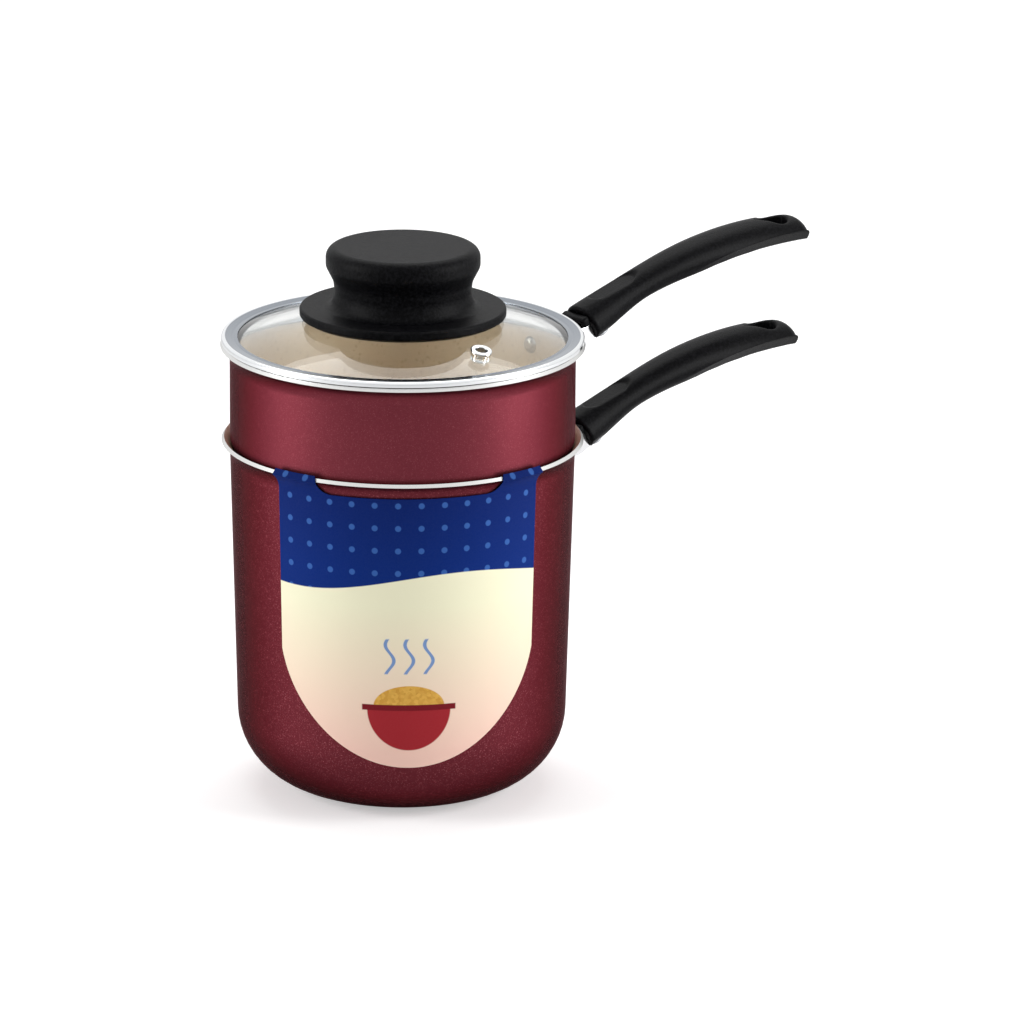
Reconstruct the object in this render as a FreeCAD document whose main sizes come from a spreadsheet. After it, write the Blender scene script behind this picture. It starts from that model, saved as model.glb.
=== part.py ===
import FreeCAD, Part
import math
import os
import re
import Sketcher
from FreeCAD import Placement, Rotation, Vector

# Couscous steamer: a tall pot, a steamer pot with a pierced base that sits in its mouth, and a
# domed glass lid. Each pot has a long moulded handle on a riveted steel bracket.
# The origin is the middle of the pot's base, on the axis of the pots. +Z is up, +X is along the
# pot's handle, and lengths are millimetres.

doc = FreeCAD.newDocument("CouscousSteamer")
sheet = doc.addObject("Spreadsheet::Sheet", "Sizes")

SIZES = [
    # Pressed aluminium pots
    ("sheet_wall", 1.2),
    ("flare_angle", 50.0),
    ("flare_bend", 6.0),
    ("pot_height", 108.55),
    ("pot_radius", 52.1),
    ("pot_draft", 2.7),
    ("pot_corner", 24.0),
    ("pot_floor", 2.0),
    ("pot_flare_reach", 3.3),
    ("steamer_height", 53.95),
    ("steamer_flare_reach", 3.7),
    ("steamer_turn", -1.45),
    ("insert_room", 2.5),
    ("insert_depth", 19.5),
    ("insert_corner", 7.0),
    ("shoulder_rise", 3.8),
    ("shoulder_bend", 2.0),
    ("seat_gap", 0.3),
    ("steam_hole", 1.9),
    ("steam_ring_step", 10.5),
    ("steam_ring_count", 6),
    # Glass lid
    ("lid_gap", 0.3),
    ("glass_inset", 4.45),
    ("glass_thickness", 4.0),
    ("glass_curve", 150.0),
    ("glass_bore", 3.5),
    ("glass_clear", 0.15),
    ("band_set_back", 0.27),
    ("band_flange", 4.95),
    ("band_height", 1.75),
    ("band_sheet", 0.45),
    ("band_hem", 1.9),
    ("band_round", 0.7),
    ("vent_reach", 38.5),
    ("vent_turn", -93.0),
    ("vent_bore", 1.75),
    ("vent_flange", 3.25),
    ("vent_sheet", 0.5),
    ("vent_rise", 0.9),
    ("vent_round", 0.4),
    ("vent_clear", 0.12),
    ("knob_height", 19.4),
    ("knob_radius", 23.25),
    ("knob_round", 3.2),
    ("knob_head", 5.8),
    ("knob_head_round", 3.0),
    ("knob_under", 10.2),
    ("knob_neck_step", 0.55),
    ("knob_neck_round", 5.0),
    ("knob_waist", 20.45),
    ("knob_waist_rise", 4.2),
    ("knob_foot_flare", 1.2),
    ("knob_foot_round", 2.5),
    ("knob_flange", 31.1),
    ("knob_flange_top", 0.9),
    ("knob_flange_side", 2.5),
    ("knob_flange_round", 0.8),
    ("knob_foot_inset", 1.8),
    ("knob_clear", 0.3),
    ("knob_bore_depth", 12.0),
    ("knob_screw", 2.0),
    ("knob_screw_head", 4.2),
    ("knob_screw_head_rise", 2.2),
    ("knob_washer", 9.0),
    ("knob_washer_thickness", 1.6),
    ("knob_washer_round", 0.5),
    ("knob_collar", 3.0),
    # Brackets and fixings
    ("pot_bracket_below_lip", 13.95),
    ("steamer_bracket_below_lip", 8.45),
    ("bracket_sheet", 1.2),
    ("bracket_clear", 0.15),
    ("bracket_plate_up", 6.0),
    ("bracket_plate_down", 7.0),
    ("bracket_plate_turn", 19.0),
    ("channel_width", 8.6),
    ("channel_height", 7.4),
    ("channel_round", 2.6),
    ("channel_drop", 0.8),
    ("channel_bend", 6.0),
    ("tongue_depth", 8.5),
    ("rivet_drop", 1.4),
    ("rivet_shank", 1.9),
    ("rivet_head", 2.7),
    ("rivet_head_rise", 1.1),
    ("rivet_dome_flat", 1.2),
    ("rivet_dome_curve", 2.4),
    ("rivet_clear", 0.1),
    ("handle_screw", 1.4),
    ("handle_screw_head", 2.7),
    ("handle_screw_head_rise", 1.1),
    ("handle_screw_reach", 5.0),
    ("handle_screw_seat", 5.1),
    ("cross_slot", 0.6),
    ("cross_share", 0.62),
    ("cross_depth", 0.7),
    ("screw_clear", 0.1),
    # Moulded handle
    ("handle_stand_off", 19.9),
    ("handle_rise", 1.0),
    ("handle_slope", 27.0),
    ("handle_curve", 165.0),
    ("socket_clear", 0.25),
    ("neck_along", 12.0),
    ("waist_along", 25.0),
    ("palm_along", 50.0),
    ("swell_along", 76.0),
    ("crown_along", 92.6),
    ("face_wide", 14.0),
    ("face_thick", 13.8),
    ("neck_wide", 12.4),
    ("neck_thick", 10.8),
    ("waist_wide", 11.8),
    ("waist_thick", 9.2),
    ("palm_wide", 14.4),
    ("palm_thick", 11.2),
    ("palm_sink", 1.0),
    ("swell_wide", 16.8),
    ("swell_thick", 14.6),
    ("swell_sink", 3.0),
    ("crown_wide", 17.0),
    ("crown_thick", 13.6),
    ("crown_sink", 3.4),
    ("tip_round", 4.6),
    ("collar_wide", 10.8),
    ("collar_thick", 10.2),
    ("collar_long", 3.0),
    ("collar_round", 2.0),
    ("under_along", 81.39),
    ("under_curve", 190.9),
    ("under_depth", 175.7),
    ("under_sweep", 37.2),
    ("under_flat", 9.6),
    ("under_bevel", 48.0),
    ("thumb_along", 12.05),
    ("thumb_height", 11.1),
    ("thumb_tilt", 16.0),
    ("thumb_long", 17.0),
    ("thumb_wide", 8.6),
    ("hang_along", 79.1),
    ("hang_point", 7.8),
    ("hang_radius", 4.5),
    # Printed card hooked over the pot's rim
    ("card_thickness", 0.35),
    ("card_clear", 0.15),
    ("card_turn", -129.0),
    ("card_sweep", 93.4),
    ("card_bottom", 19.5),
    ("card_foot", 40.5),
    ("card_window_half", 27.9),
    ("card_window_below_lip", 4.95),
    ("card_window_round", 5.0),
    ("card_hook_drop", 1.0),
]

for row, (name, size) in enumerate(SIZES, 1):
    sheet.set(f"A{row}", name)
    sheet.set(f"B{row}", str(size))
    sheet.setAlias(f"B{row}", name)
doc.recompute()
NAMES = {name for name, size in SIZES}


def bound(formula):
    """Points each size named in a formula at its cell."""
    return re.sub(r"[a-z_]+", lambda word: f"Sizes.{word[0]}" if word[0] in NAMES else word[0], formula)


def value(formula):
    """The number that a formula of sizes gives."""
    return float(sheet.evalExpression(re.sub(r"Sizes\.", "", formula)))


# Formulas that more than one piece uses
POT_FOOT_RADIUS = "(pot_radius - pot_draft)"
INSERT_RADIUS = "(pot_radius - sheet_wall - insert_room)"
FLARE_UP = "cos(flare_angle)"
FLARE_OUT = "sin(flare_angle)"
POT_BEND_Z = f"(pot_height - pot_flare_reach * {FLARE_UP} - sheet_wall * {FLARE_OUT})"
POT_TAPER = f"(pot_draft / {POT_BEND_Z})"
BEND_RISE = "flare_bend * tan(flare_angle / 2)"
FLARE_DROP = f"(steamer_flare_reach * {FLARE_UP} + sheet_wall * {FLARE_OUT})"
SHOULDER_RUN = "(sheet_wall + insert_room)"
SHOULDER_LONG = f"sqrt({SHOULDER_RUN} ^ 2 + shoulder_rise ^ 2)"
STEAMER_Z = (
    f"({POT_BEND_Z} - {BEND_RISE} - insert_depth"
    f" - ((flare_bend + {SHOULDER_RUN}) * shoulder_rise"
    f" - (flare_bend + sheet_wall + seat_gap) * {SHOULDER_LONG}) / {SHOULDER_RUN})"
)
POT_BRACKET = "(pot_height - pot_bracket_below_lip)"
STEAMER_BRACKET = f"({STEAMER_Z} + steamer_height - steamer_bracket_below_lip)"
LID_Z = f"({STEAMER_Z} + steamer_height + lid_gap)"
BAND_RADIUS = f"(pot_radius + steamer_flare_reach * {FLARE_OUT} - band_set_back)"
GLASS_RADIUS = f"({BAND_RADIUS} - glass_inset)"
BAND_INNER = f"({BAND_RADIUS} - band_flange)"
GLASS_TOP = (
    "(band_height - band_sheet - glass_clear"
    f" + glass_curve - sqrt(glass_curve ^ 2 - {BAND_INNER} ^ 2))"
)
GLASS_CENTRE = f"({GLASS_TOP} - glass_curve)"
GLASS_INSIDE = "(glass_curve - glass_thickness)"
WASHER_RIM = f"(sqrt({GLASS_INSIDE} ^ 2 - knob_washer ^ 2) - {GLASS_INSIDE} - glass_clear)"
ACROSS_POT = "(2 * pot_radius + 4 * pot_flare_reach)"


def pot_wall_at(height):
    """Outer radius of the tapered pot at a height."""
    return f"({POT_FOOT_RADIUS} + {POT_TAPER} * ({height}))"


def new_body(label, z="0", turn="0"):
    """An empty body standing at a height, turned about the axis of the pots."""
    body = doc.addObject("PartDesign::Body", label)
    body.Label = label
    body.Placement = Placement(Vector(0, 0, value(z)), Rotation(Vector(0, 0, 1), value(turn)))
    body.setExpression(".Placement.Base.z", bound(z))
    return body


def plane_of(body, role):
    """The body's own origin plane or axis."""
    return next(feature for feature in body.Origin.OriginFeatures if feature.Role == role)


def new_sketch(body, name, role="XZ_Plane", at=(0, 0, 0), tilt=0.0):
    """A sketch on one of the body's planes, moved and tilted about its own first axis."""
    sketch = body.newObject("Sketcher::SketchObject", name)
    sketch.AttachmentSupport = [(plane_of(body, role), "")]
    sketch.MapMode = "FlatFace"
    sketch.AttachmentOffset = Placement(Vector(*at), Rotation(Vector(1, 0, 0), tilt))
    return sketch


def arc_between(start, end, radius, left):
    """An arc from start to end whose centre lies left or right of the way, and its end marks."""
    chord = end - start
    side = Vector(-chord.y, chord.x, 0).normalize()
    depth = math.sqrt(radius ** 2 - chord.Length ** 2 / 4)
    centre = (start + end) / 2 + side * (depth if left else -depth)
    first, last = (start, end) if left else (end, start)
    begin = math.atan2(first.y - centre.y, first.x - centre.x)
    finish = math.atan2(last.y - centre.y, last.x - centre.x)
    circle = Part.Circle(centre, Vector(0, 0, 1), radius)
    return Part.ArcOfCircle(circle, begin, finish), (1, 2) if left else (2, 1)


def draw_outline(sketch, corners, arcs=None):
    """Draws a closed outline. A corner is two formulas and, where it is rounded, a radius.

    arcs gives, for the edge that starts at a corner, its radius and whether the centre is left.
    """
    arcs = arcs or {}
    points = [Vector(value(corner[0]), value(corner[1]), 0) for corner in corners]
    marks = []
    for index, point in enumerate(points):
        following = points[(index + 1) % len(points)]
        if index in arcs:
            radius, left = arcs[index]
            edge, ends = arc_between(point, following, value(radius), left)
        else:
            edge, ends = Part.LineSegment(point, following), (1, 2)
        sketch.addGeometry(edge, False)
        marks.append(ends)
    for index in range(len(points)):
        other = (index + 1) % len(points)
        sketch.addConstraint(
            Sketcher.Constraint("Coincident", index, marks[index][1], other, marks[other][0])
        )
    for index, corner in enumerate(corners):
        for kind, formula, number in zip(("DistanceX", "DistanceY"), corner, points[index]):
            tie = sketch.addConstraint(
                Sketcher.Constraint(kind, -1, 1, index, marks[index][0], number)
            )
            sketch.setExpression(f"Constraints[{tie}]", bound(formula))
    for index, (radius, left) in arcs.items():
        tie = sketch.addConstraint(Sketcher.Constraint("Radius", index, value(radius)))
        sketch.setExpression(f"Constraints[{tie}]", bound(radius))
    for index, corner in enumerate(corners):
        if len(corner) > 2:
            fresh = len(sketch.Geometry)
            sketch.fillet(index, 1, value(corner[2]), True, True)
            tie = sketch.addConstraint(Sketcher.Constraint("Radius", fresh, value(corner[2])))
            sketch.setExpression(f"Constraints[{tie}]", bound(corner[2]))
    return sketch


def draw_circle(sketch, radius, x="0", y="0"):
    """A circle with its centre and radius tied to formulas."""
    circle = Part.Circle(Vector(value(x), value(y), 0), Vector(0, 0, 1), value(radius))
    sketch.addGeometry(circle, False)
    for kind, formula in (("DistanceX", x), ("DistanceY", y)):
        tie = sketch.addConstraint(Sketcher.Constraint(kind, -1, 1, 0, 3, value(formula)))
        sketch.setExpression(f"Constraints[{tie}]", bound(formula))
    tie = sketch.addConstraint(Sketcher.Constraint("Radius", 0, value(radius)))
    sketch.setExpression(f"Constraints[{tie}]", bound(radius))
    return sketch


def draw_ellipse(sketch, wide, thick):
    """A full ellipse about the sketch's origin, wider than it is thick."""
    half_wide = value(wide) / 2
    half_thick = value(thick) / 2
    ellipse = Part.Ellipse(Vector(half_wide, 0, 0), Vector(0, half_thick, 0), Vector(0, 0, 0))
    sketch.addGeometry(ellipse, False)
    sketch.exposeInternalGeometry(0)
    sketch.addConstraint(Sketcher.Constraint("Coincident", 0, 3, -1, 1))
    sketch.addConstraint(Sketcher.Constraint("Horizontal", 1))
    for axis, formula in ((1, wide), (2, thick)):
        tie = sketch.addConstraint(Sketcher.Constraint("Distance", axis, value(formula)))
        sketch.setExpression(f"Constraints[{tie}]", bound(formula))
    return sketch


def revolve(body, sketch, turn="360", axis="V_Axis", kind="Revolution", both_ways=False):
    """Turns a sketch about one of its axes, adding or cutting."""
    feature = body.newObject(f"PartDesign::{kind}", f"{body.Name}_{kind.lower()}")
    feature.Profile = sketch
    feature.ReferenceAxis = (sketch, [axis])
    feature.Midplane = both_ways
    feature.Angle = value(turn)
    feature.setExpression("Angle", bound(turn))
    return feature


def pocket(body, sketch, depth, reverse=False, both_ways=False):
    """Cuts a sketch's outline into the body."""
    feature = body.newObject("PartDesign::Pocket", f"{sketch.Name}_cut")
    feature.Profile = sketch
    feature.Length = value(depth)
    feature.setExpression("Length", bound(depth))
    feature.Reversed = reverse
    feature.Midplane = both_ways
    return feature


# The pot is one pressed sheet: a flat base, a large corner, a wall that widens upward and a
# flared mouth whose cut edge is bare metal.
def build_pot():
    body = new_body("lower_pot")
    flare_r = f"pot_flare_reach * {FLARE_OUT}"
    flare_z = f"pot_flare_reach * {FLARE_UP}"
    lean = "sheet_wall * tan(flare_angle / 2)"
    profile = new_sketch(body, "pot_profile")
    draw_outline(
        profile,
        [
            ("0", "0"),
            (POT_FOOT_RADIUS, "0", "pot_corner"),
            ("pot_radius", POT_BEND_Z, "flare_bend"),
            (f"pot_radius + {flare_r}", f"{POT_BEND_Z} + {flare_z}"),
            (
                f"pot_radius + {flare_r} - sheet_wall * {FLARE_UP}",
                "pot_height",
            ),
            ("pot_radius - sheet_wall", f"{POT_BEND_Z} + {lean}", "flare_bend + sheet_wall"),
            (f"{pot_wall_at('pot_floor')} - sheet_wall", "pot_floor", "pot_corner - sheet_wall"),
            ("0", "pot_floor"),
        ],
    )
    revolve(body, profile)
    hole = new_sketch(body, "pot_rivet_hole", "YZ_Plane")
    draw_circle(hole, "rivet_shank + rivet_clear", "0", f"{POT_BRACKET} - rivet_drop")
    pocket(body, hole, "pot_radius + flare_bend", reverse=True)
    return body


# The steamer pot is pressed from the same sheet. Its lower part is narrower and hangs in the
# pot, its shoulder rests in the pot's flared mouth, and steam comes up through the pierced base.
def build_steamer():
    body = new_body("steamer_pot", STEAMER_Z, "steamer_turn")
    bend_z = f"(steamer_height - {FLARE_DROP})"
    flare_r = f"steamer_flare_reach * {FLARE_OUT}"
    lean = "sheet_wall * tan(flare_angle / 2)"
    shoulder_lean = f"(sheet_wall * tan(atan({SHOULDER_RUN} / shoulder_rise) / 2))"
    profile = new_sketch(body, "steamer_profile")
    draw_outline(
        profile,
        [
            ("0", "0"),
            (INSERT_RADIUS, "0", "insert_corner"),
            (INSERT_RADIUS, "insert_depth", "shoulder_bend"),
            ("pot_radius", "insert_depth + shoulder_rise", "shoulder_bend + sheet_wall"),
            ("pot_radius", bend_z, "flare_bend"),
            (f"pot_radius + {flare_r}", f"{bend_z} + steamer_flare_reach * {FLARE_UP}"),
            (f"pot_radius + {flare_r} - sheet_wall * {FLARE_UP}", "steamer_height"),
            ("pot_radius - sheet_wall", f"{bend_z} + {lean}", "flare_bend + sheet_wall"),
            (
                "pot_radius - sheet_wall",
                f"insert_depth + shoulder_rise + {shoulder_lean}",
                "shoulder_bend",
            ),
            (
                f"{INSERT_RADIUS} - sheet_wall",
                f"insert_depth + {shoulder_lean}",
                "shoulder_bend + sheet_wall",
            ),
            (f"{INSERT_RADIUS} - sheet_wall", "sheet_wall", "insert_corner - sheet_wall"),
            ("0", "sheet_wall"),
        ],
    )
    revolve(body, profile)
    rivet = new_sketch(body, "steamer_rivet_hole", "YZ_Plane")
    rivet_z = "steamer_height - steamer_bracket_below_lip - rivet_drop"
    draw_circle(rivet, "rivet_shank + rivet_clear", "0", rivet_z)
    pocket(body, rivet, "pot_radius + flare_bend", reverse=True)
    middle = new_sketch(body, "steam_hole_middle", "XY_Plane")
    draw_circle(middle, "steam_hole")
    pocket(body, middle, "insert_corner", reverse=True)
    for ring in (1, 2, 3):
        first = new_sketch(body, f"steam_hole_ring_{ring}", "XY_Plane")
        draw_circle(first, "steam_hole", f"steam_ring_step * {ring}")
        cut = pocket(body, first, "insert_corner", reverse=True)
        doc.recompute()
        pattern = body.newObject("PartDesign::PolarPattern", f"steam_ring_{ring}")
        pattern.Originals = [cut]
        pattern.Axis = (plane_of(body, "Z_Axis"), [""])
        pattern.Angle = 360
        pattern.setExpression("Occurrences", bound(f"steam_ring_count * {ring}"))
        body.Tip = pattern
    return body


def along_handle(reach, along, level="0"):
    """Place on the handle's end axis: a distance from its end face, and above or below it."""
    slope = value("handle_slope")
    turned = Rotation(Vector(0, 1, 0), -slope)
    start = Vector(value(reach), 0, value("handle_rise"))
    return Placement(start + turned.multVec(Vector(value(along), 0, value(level))), turned)


def along_face(reach, along):
    """Place of a sketch square to the handle's end axis, a distance from its end face."""
    spot = along_handle(reach, along).Base
    return Placement(Vector(0, spot.z, spot.x), Rotation(Vector(1, 0, 0), -value("handle_slope")))


# Each bracket is folded from steel sheet: a curved plate that lies against the wall, and a
# channel, open below, that bends up into the end of the handle.
def build_bracket(label, wall_low, wall_high, plate_up, reach, z, turn):
    body = new_body(label, z, turn)
    plate = new_sketch(body, f"{label}_plate")
    gap = "bracket_clear"
    draw_outline(
        plate,
        [
            (f"{wall_low} + {gap}", "-bracket_plate_down"),
            (f"{wall_low} + {gap} + bracket_sheet", "-bracket_plate_down"),
            (f"{wall_high} + {gap} + bracket_sheet", plate_up),
            (f"{wall_high} + {gap}", plate_up),
        ],
    )
    revolve(body, plate, "bracket_plate_turn", both_ways=True)
    bend_x = f"({reach} - (handle_rise + channel_drop) / tan(handle_slope))"
    start_x = f"({wall_low} + {gap} + bracket_sheet / 2)"
    path = new_sketch(body, f"{label}_path")
    path.addGeometry(
        [
            Part.LineSegment(
                Vector(value(start_x), value("-channel_drop"), 0),
                Vector(value(bend_x), value("-channel_drop"), 0),
            ),
            Part.LineSegment(
                Vector(value(bend_x), value("-channel_drop"), 0),
                Vector(
                    value(f"{reach} + tongue_depth * cos(handle_slope)"),
                    value("handle_rise + tongue_depth * sin(handle_slope)"),
                    0,
                ),
            ),
        ],
        False,
    )
    path.addConstraint(Sketcher.Constraint("Coincident", 0, 2, 1, 1))
    ends = [
        (0, 1, start_x, "-channel_drop"),
        (1, 1, bend_x, "-channel_drop"),
        (
            1,
            2,
            f"{reach} + tongue_depth * cos(handle_slope)",
            "handle_rise + tongue_depth * sin(handle_slope)",
        ),
    ]
    for edge, end, x, y in ends:
        for kind, formula in (("DistanceX", x), ("DistanceY", y)):
            tie = path.addConstraint(Sketcher.Constraint(kind, -1, 1, edge, end, value(formula)))
            path.setExpression(f"Constraints[{tie}]", bound(formula))
    path.fillet(1, 1, value("channel_bend"), True, True)
    tie = path.addConstraint(Sketcher.Constraint("Radius", 2, value("channel_bend")))
    path.setExpression(f"Constraints[{tie}]", bound("channel_bend"))
    section = new_sketch(
        body, f"{label}_section", "YZ_Plane", (0, value("-channel_drop"), value(start_x))
    )
    section.setExpression(".AttachmentOffset.Base.z", bound(start_x))
    section.setExpression(".AttachmentOffset.Base.y", bound("-channel_drop"))
    side = "channel_width / 2"
    top = "channel_height / 2"
    wall = "bracket_sheet"
    draw_outline(
        section,
        [
            (f"-{side}", f"-{top}"),
            (f"-{side}", top, "channel_round"),
            (side, top, "channel_round"),
            (side, f"-{top}"),
            (f"{side} - {wall}", f"-{top}"),
            (f"{side} - {wall}", f"{top} - {wall}", "channel_round - bracket_sheet"),
            (f"{wall} - {side}", f"{top} - {wall}", "channel_round - bracket_sheet"),
            (f"{wall} - {side}", f"-{top}"),
        ],
    )
    doc.recompute()
    channel = body.newObject("PartDesign::AdditivePipe", f"{label}_channel")
    channel.Profile = section
    channel.Spine = (path, ["Edge1", "Edge2", "Edge3"])
    rivet = new_sketch(body, f"{label}_rivet_hole", "YZ_Plane")
    draw_circle(rivet, "rivet_shank + rivet_clear", "0", "-rivet_drop")
    pocket(body, rivet, f"{wall_high} + {gap} + 2 * bracket_sheet", reverse=True)
    screw = new_sketch(body, f"{label}_screw_hole", "XY_Plane")
    screw.AttachmentOffset = along_handle(reach, "handle_screw_reach")
    draw_circle(screw, "handle_screw + screw_clear")
    pocket(body, screw, "channel_height", reverse=True)
    return body


# The rivet has a low dome inside the pot and a flat formed head inside the channel.
def build_rivet(label, wall_inner, wall_outer, z, turn):
    body = new_body(label, f"{z} - rivet_drop", turn)
    head = new_sketch(body, f"{label}_profile")
    inside = f"({wall_inner} - rivet_clear)"
    outside = f"({wall_outer} + bracket_clear + bracket_sheet + rivet_clear)"
    draw_outline(
        head,
        [
            (f"{inside} - rivet_head_rise", "0"),
            (f"{inside} - rivet_head_rise", "rivet_dome_flat"),
            (inside, "rivet_head"),
            (inside, "rivet_shank"),
            (outside, "rivet_shank"),
            (outside, "rivet_head"),
            (f"{outside} + rivet_head_rise", "rivet_head", "rivet_head_rise / 2"),
            (f"{outside} + rivet_head_rise", "0"),
        ],
        {1: ("rivet_dome_curve", False)},
    )
    revolve(body, head, axis="H_Axis")
    return body


def draw_teardrop(sketch, tip, centre, radius):
    """A round hole drawn out to a point on its first axis."""
    middle = value(centre)
    size = value(radius)
    open_angle = math.pi - math.acos(size / (middle - value(tip)))
    circle = Part.Circle(Vector(middle, 0, 0), Vector(0, 0, 1), size)
    arc = Part.ArcOfCircle(circle, -open_angle, open_angle)
    point = Vector(value(tip), 0, 0)
    low = Vector(middle + size * math.cos(open_angle), -size * math.sin(open_angle), 0)
    high = Vector(low.x, -low.y, 0)
    sketch.addGeometry([arc, Part.LineSegment(point, low), Part.LineSegment(high, point)], False)
    sketch.addConstraint(Sketcher.Constraint("Tangent", 1, 2, 0, 1))
    sketch.addConstraint(Sketcher.Constraint("Tangent", 0, 2, 2, 1))
    sketch.addConstraint(Sketcher.Constraint("Coincident", 2, 2, 1, 1))
    sketch.addConstraint(Sketcher.Constraint("PointOnObject", 0, 3, -1))
    sketch.addConstraint(Sketcher.Constraint("PointOnObject", 1, 1, -1))
    for edge, end, formula in ((0, 3, centre), (1, 1, tip)):
        tie = sketch.addConstraint(
            Sketcher.Constraint("DistanceX", -1, 1, edge, end, value(formula))
        )
        sketch.setExpression(f"Constraints[{tie}]", bound(formula))
    tie = sketch.addConstraint(Sketcher.Constraint("Radius", 0, size))
    sketch.setExpression(f"Constraints[{tie}]", bound(radius))


def handle_section(body, name, reach, along, wide, thick, sink):
    """Ellipse across the handle at a distance along its arched centre line, sunk below it."""
    slope = value("handle_slope")
    bend = slope - math.degrees(value(along) / value("handle_curve"))
    centre_x = value(reach) + value("handle_curve") * math.sin(math.radians(slope))
    centre_z = value("handle_rise") - value("handle_curve") * math.cos(math.radians(slope))
    radius = value("handle_curve") - value(sink)
    x = centre_x - radius * math.sin(math.radians(bend))
    z = centre_z + radius * math.cos(math.radians(bend))
    section = new_sketch(body, name, "YZ_Plane", (0, z, x), -bend)
    return draw_ellipse(section, wide, thick)


# The handle is moulded in one piece: an arched grip, narrow behind its end block and broad at
# the far end, with a flat underside between bevels, a thumb flat and a hole to hang it by.
def build_handle(label, reach, z, turn):
    body = new_body(label, z, turn)
    stations = [
        ("face", "0", "face_wide", "face_thick", "0"),
        ("neck", "neck_along", "neck_wide", "neck_thick", "0"),
        ("waist", "waist_along", "waist_wide", "waist_thick", "0"),
        ("palm", "palm_along", "palm_wide", "palm_thick", "palm_sink"),
        ("swell", "swell_along", "swell_wide", "swell_thick", "swell_sink"),
        ("crown", "crown_along", "crown_wide", "crown_thick", "crown_sink"),
    ]
    sections = [
        handle_section(body, f"{label}_{name}", reach, along, wide, thick, sink)
        for name, along, wide, thick, sink in stations
    ]
    doc.recompute()
    grip = body.newObject("PartDesign::AdditiveLoft", f"{label}_grip")
    grip.Profile = sections[0]
    grip.Sections = sections[1:]
    grip.Ruled = False

    doc.recompute()
    edges = grip.Shape.Edges
    far_rim = max(range(len(edges)), key=lambda index: edges[index].CenterOfMass.x)
    tip = body.newObject("PartDesign::Fillet", f"{label}_tip")
    tip.Base = (grip, [f"Edge{far_rim + 1}"])
    tip.Radius = value("tip_round")
    tip.setExpression("Radius", bound("tip_round"))

    collar = new_sketch(body, f"{label}_collar", "YZ_Plane")
    collar.AttachmentOffset = along_face(reach, "0")
    draw_outline(
        collar,
        [
            ("-collar_wide / 2", "-collar_thick / 2", "collar_round"),
            ("collar_wide / 2", "-collar_thick / 2", "collar_round"),
            ("collar_wide / 2", "collar_thick / 2", "collar_round"),
            ("-collar_wide / 2", "collar_thick / 2", "collar_round"),
        ],
    )
    spigot = body.newObject("PartDesign::Pad", f"{label}_spigot")
    spigot.Profile = collar
    spigot.Length = value("collar_long")
    spigot.setExpression("Length", bound("collar_long"))
    spigot.Reversed = True

    under = new_sketch(
        body,
        f"{label}_under",
        "YZ_Plane",
        (0, value("-under_depth"), value(f"{reach} + under_along")),
    )
    slant = "(face_wide - under_flat / 2) * tan(under_bevel)"
    draw_outline(
        under,
        [
            ("-face_wide", "under_curve - face_wide"),
            ("face_wide", "under_curve - face_wide"),
            ("face_wide", f"under_curve + {slant}"),
            ("under_flat / 2", "under_curve"),
            ("-under_flat / 2", "under_curve"),
            ("-face_wide", f"under_curve + {slant}"),
        ],
    )
    revolve(body, under, "under_sweep", "H_Axis", "Groove", both_ways=True)

    thumb = new_sketch(body, f"{label}_thumb", "XY_Plane")
    thumb.AttachmentOffset = Placement(
        Vector(value(f"{reach} + thumb_along"), 0, value("thumb_height")),
        Rotation(Vector(0, 1, 0), -value("thumb_tilt")),
    )
    draw_ellipse(thumb, "thumb_long", "thumb_wide")
    pocket(body, thumb, "face_thick", reverse=True)

    hang = new_sketch(body, f"{label}_hang", "XY_Plane")
    centre = f"{reach} + hang_along"
    draw_teardrop(hang, f"{centre} - hang_point", centre, "hang_radius")
    pocket(body, hang, "handle_curve / 2", both_ways=True)

    socket = new_sketch(body, f"{label}_socket", "YZ_Plane")
    socket.AttachmentOffset = along_face(reach, "-collar_long")
    side = "(channel_width / 2 + socket_clear)"
    top = "(channel_height / 2 + socket_clear)"
    draw_outline(
        socket,
        [
            (f"-{side}", f"-{top}"),
            (side, f"-{top}"),
            (side, top, "channel_round + socket_clear"),
            (f"-{side}", top, "channel_round + socket_clear"),
        ],
    )
    pocket(body, socket, "tongue_depth + socket_clear + collar_long", reverse=True)
    for name, radius, level in (
        ("screw_hole", "handle_screw + screw_clear", "0"),
        ("screw_head_hole", "handle_screw_head + 2 * screw_clear", "-handle_screw_seat"),
    ):
        hole = new_sketch(body, f"{label}_{name}", "XY_Plane")
        hole.AttachmentOffset = along_handle(reach, "handle_screw_reach", level)
        draw_circle(hole, radius)
        pocket(body, hole, "face_thick")
    return body


def cut_cross(body, radius, level):
    """Cuts a screwdriver's cross into the underside of a screw's head."""
    cross = new_sketch(body, f"{body.Name}_cross", "XY_Plane", (0, 0, value(level)))
    cross.setExpression(".AttachmentOffset.Base.z", bound(level))
    near = "cross_slot / 2"
    far = f"{radius} * cross_share"
    draw_outline(
        cross,
        [
            (f"-({near})", f"-({far})"),
            (near, f"-({far})"),
            (near, f"-({near})"),
            (far, f"-({near})"),
            (far, near),
            (near, near),
            (near, far),
            (f"-({near})", far),
            (f"-({near})", near),
            (f"-({far})", near),
            (f"-({far})", f"-({near})"),
            (f"-({near})", f"-({near})"),
        ],
    )
    pocket(body, cross, "cross_depth", reverse=True)


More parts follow.
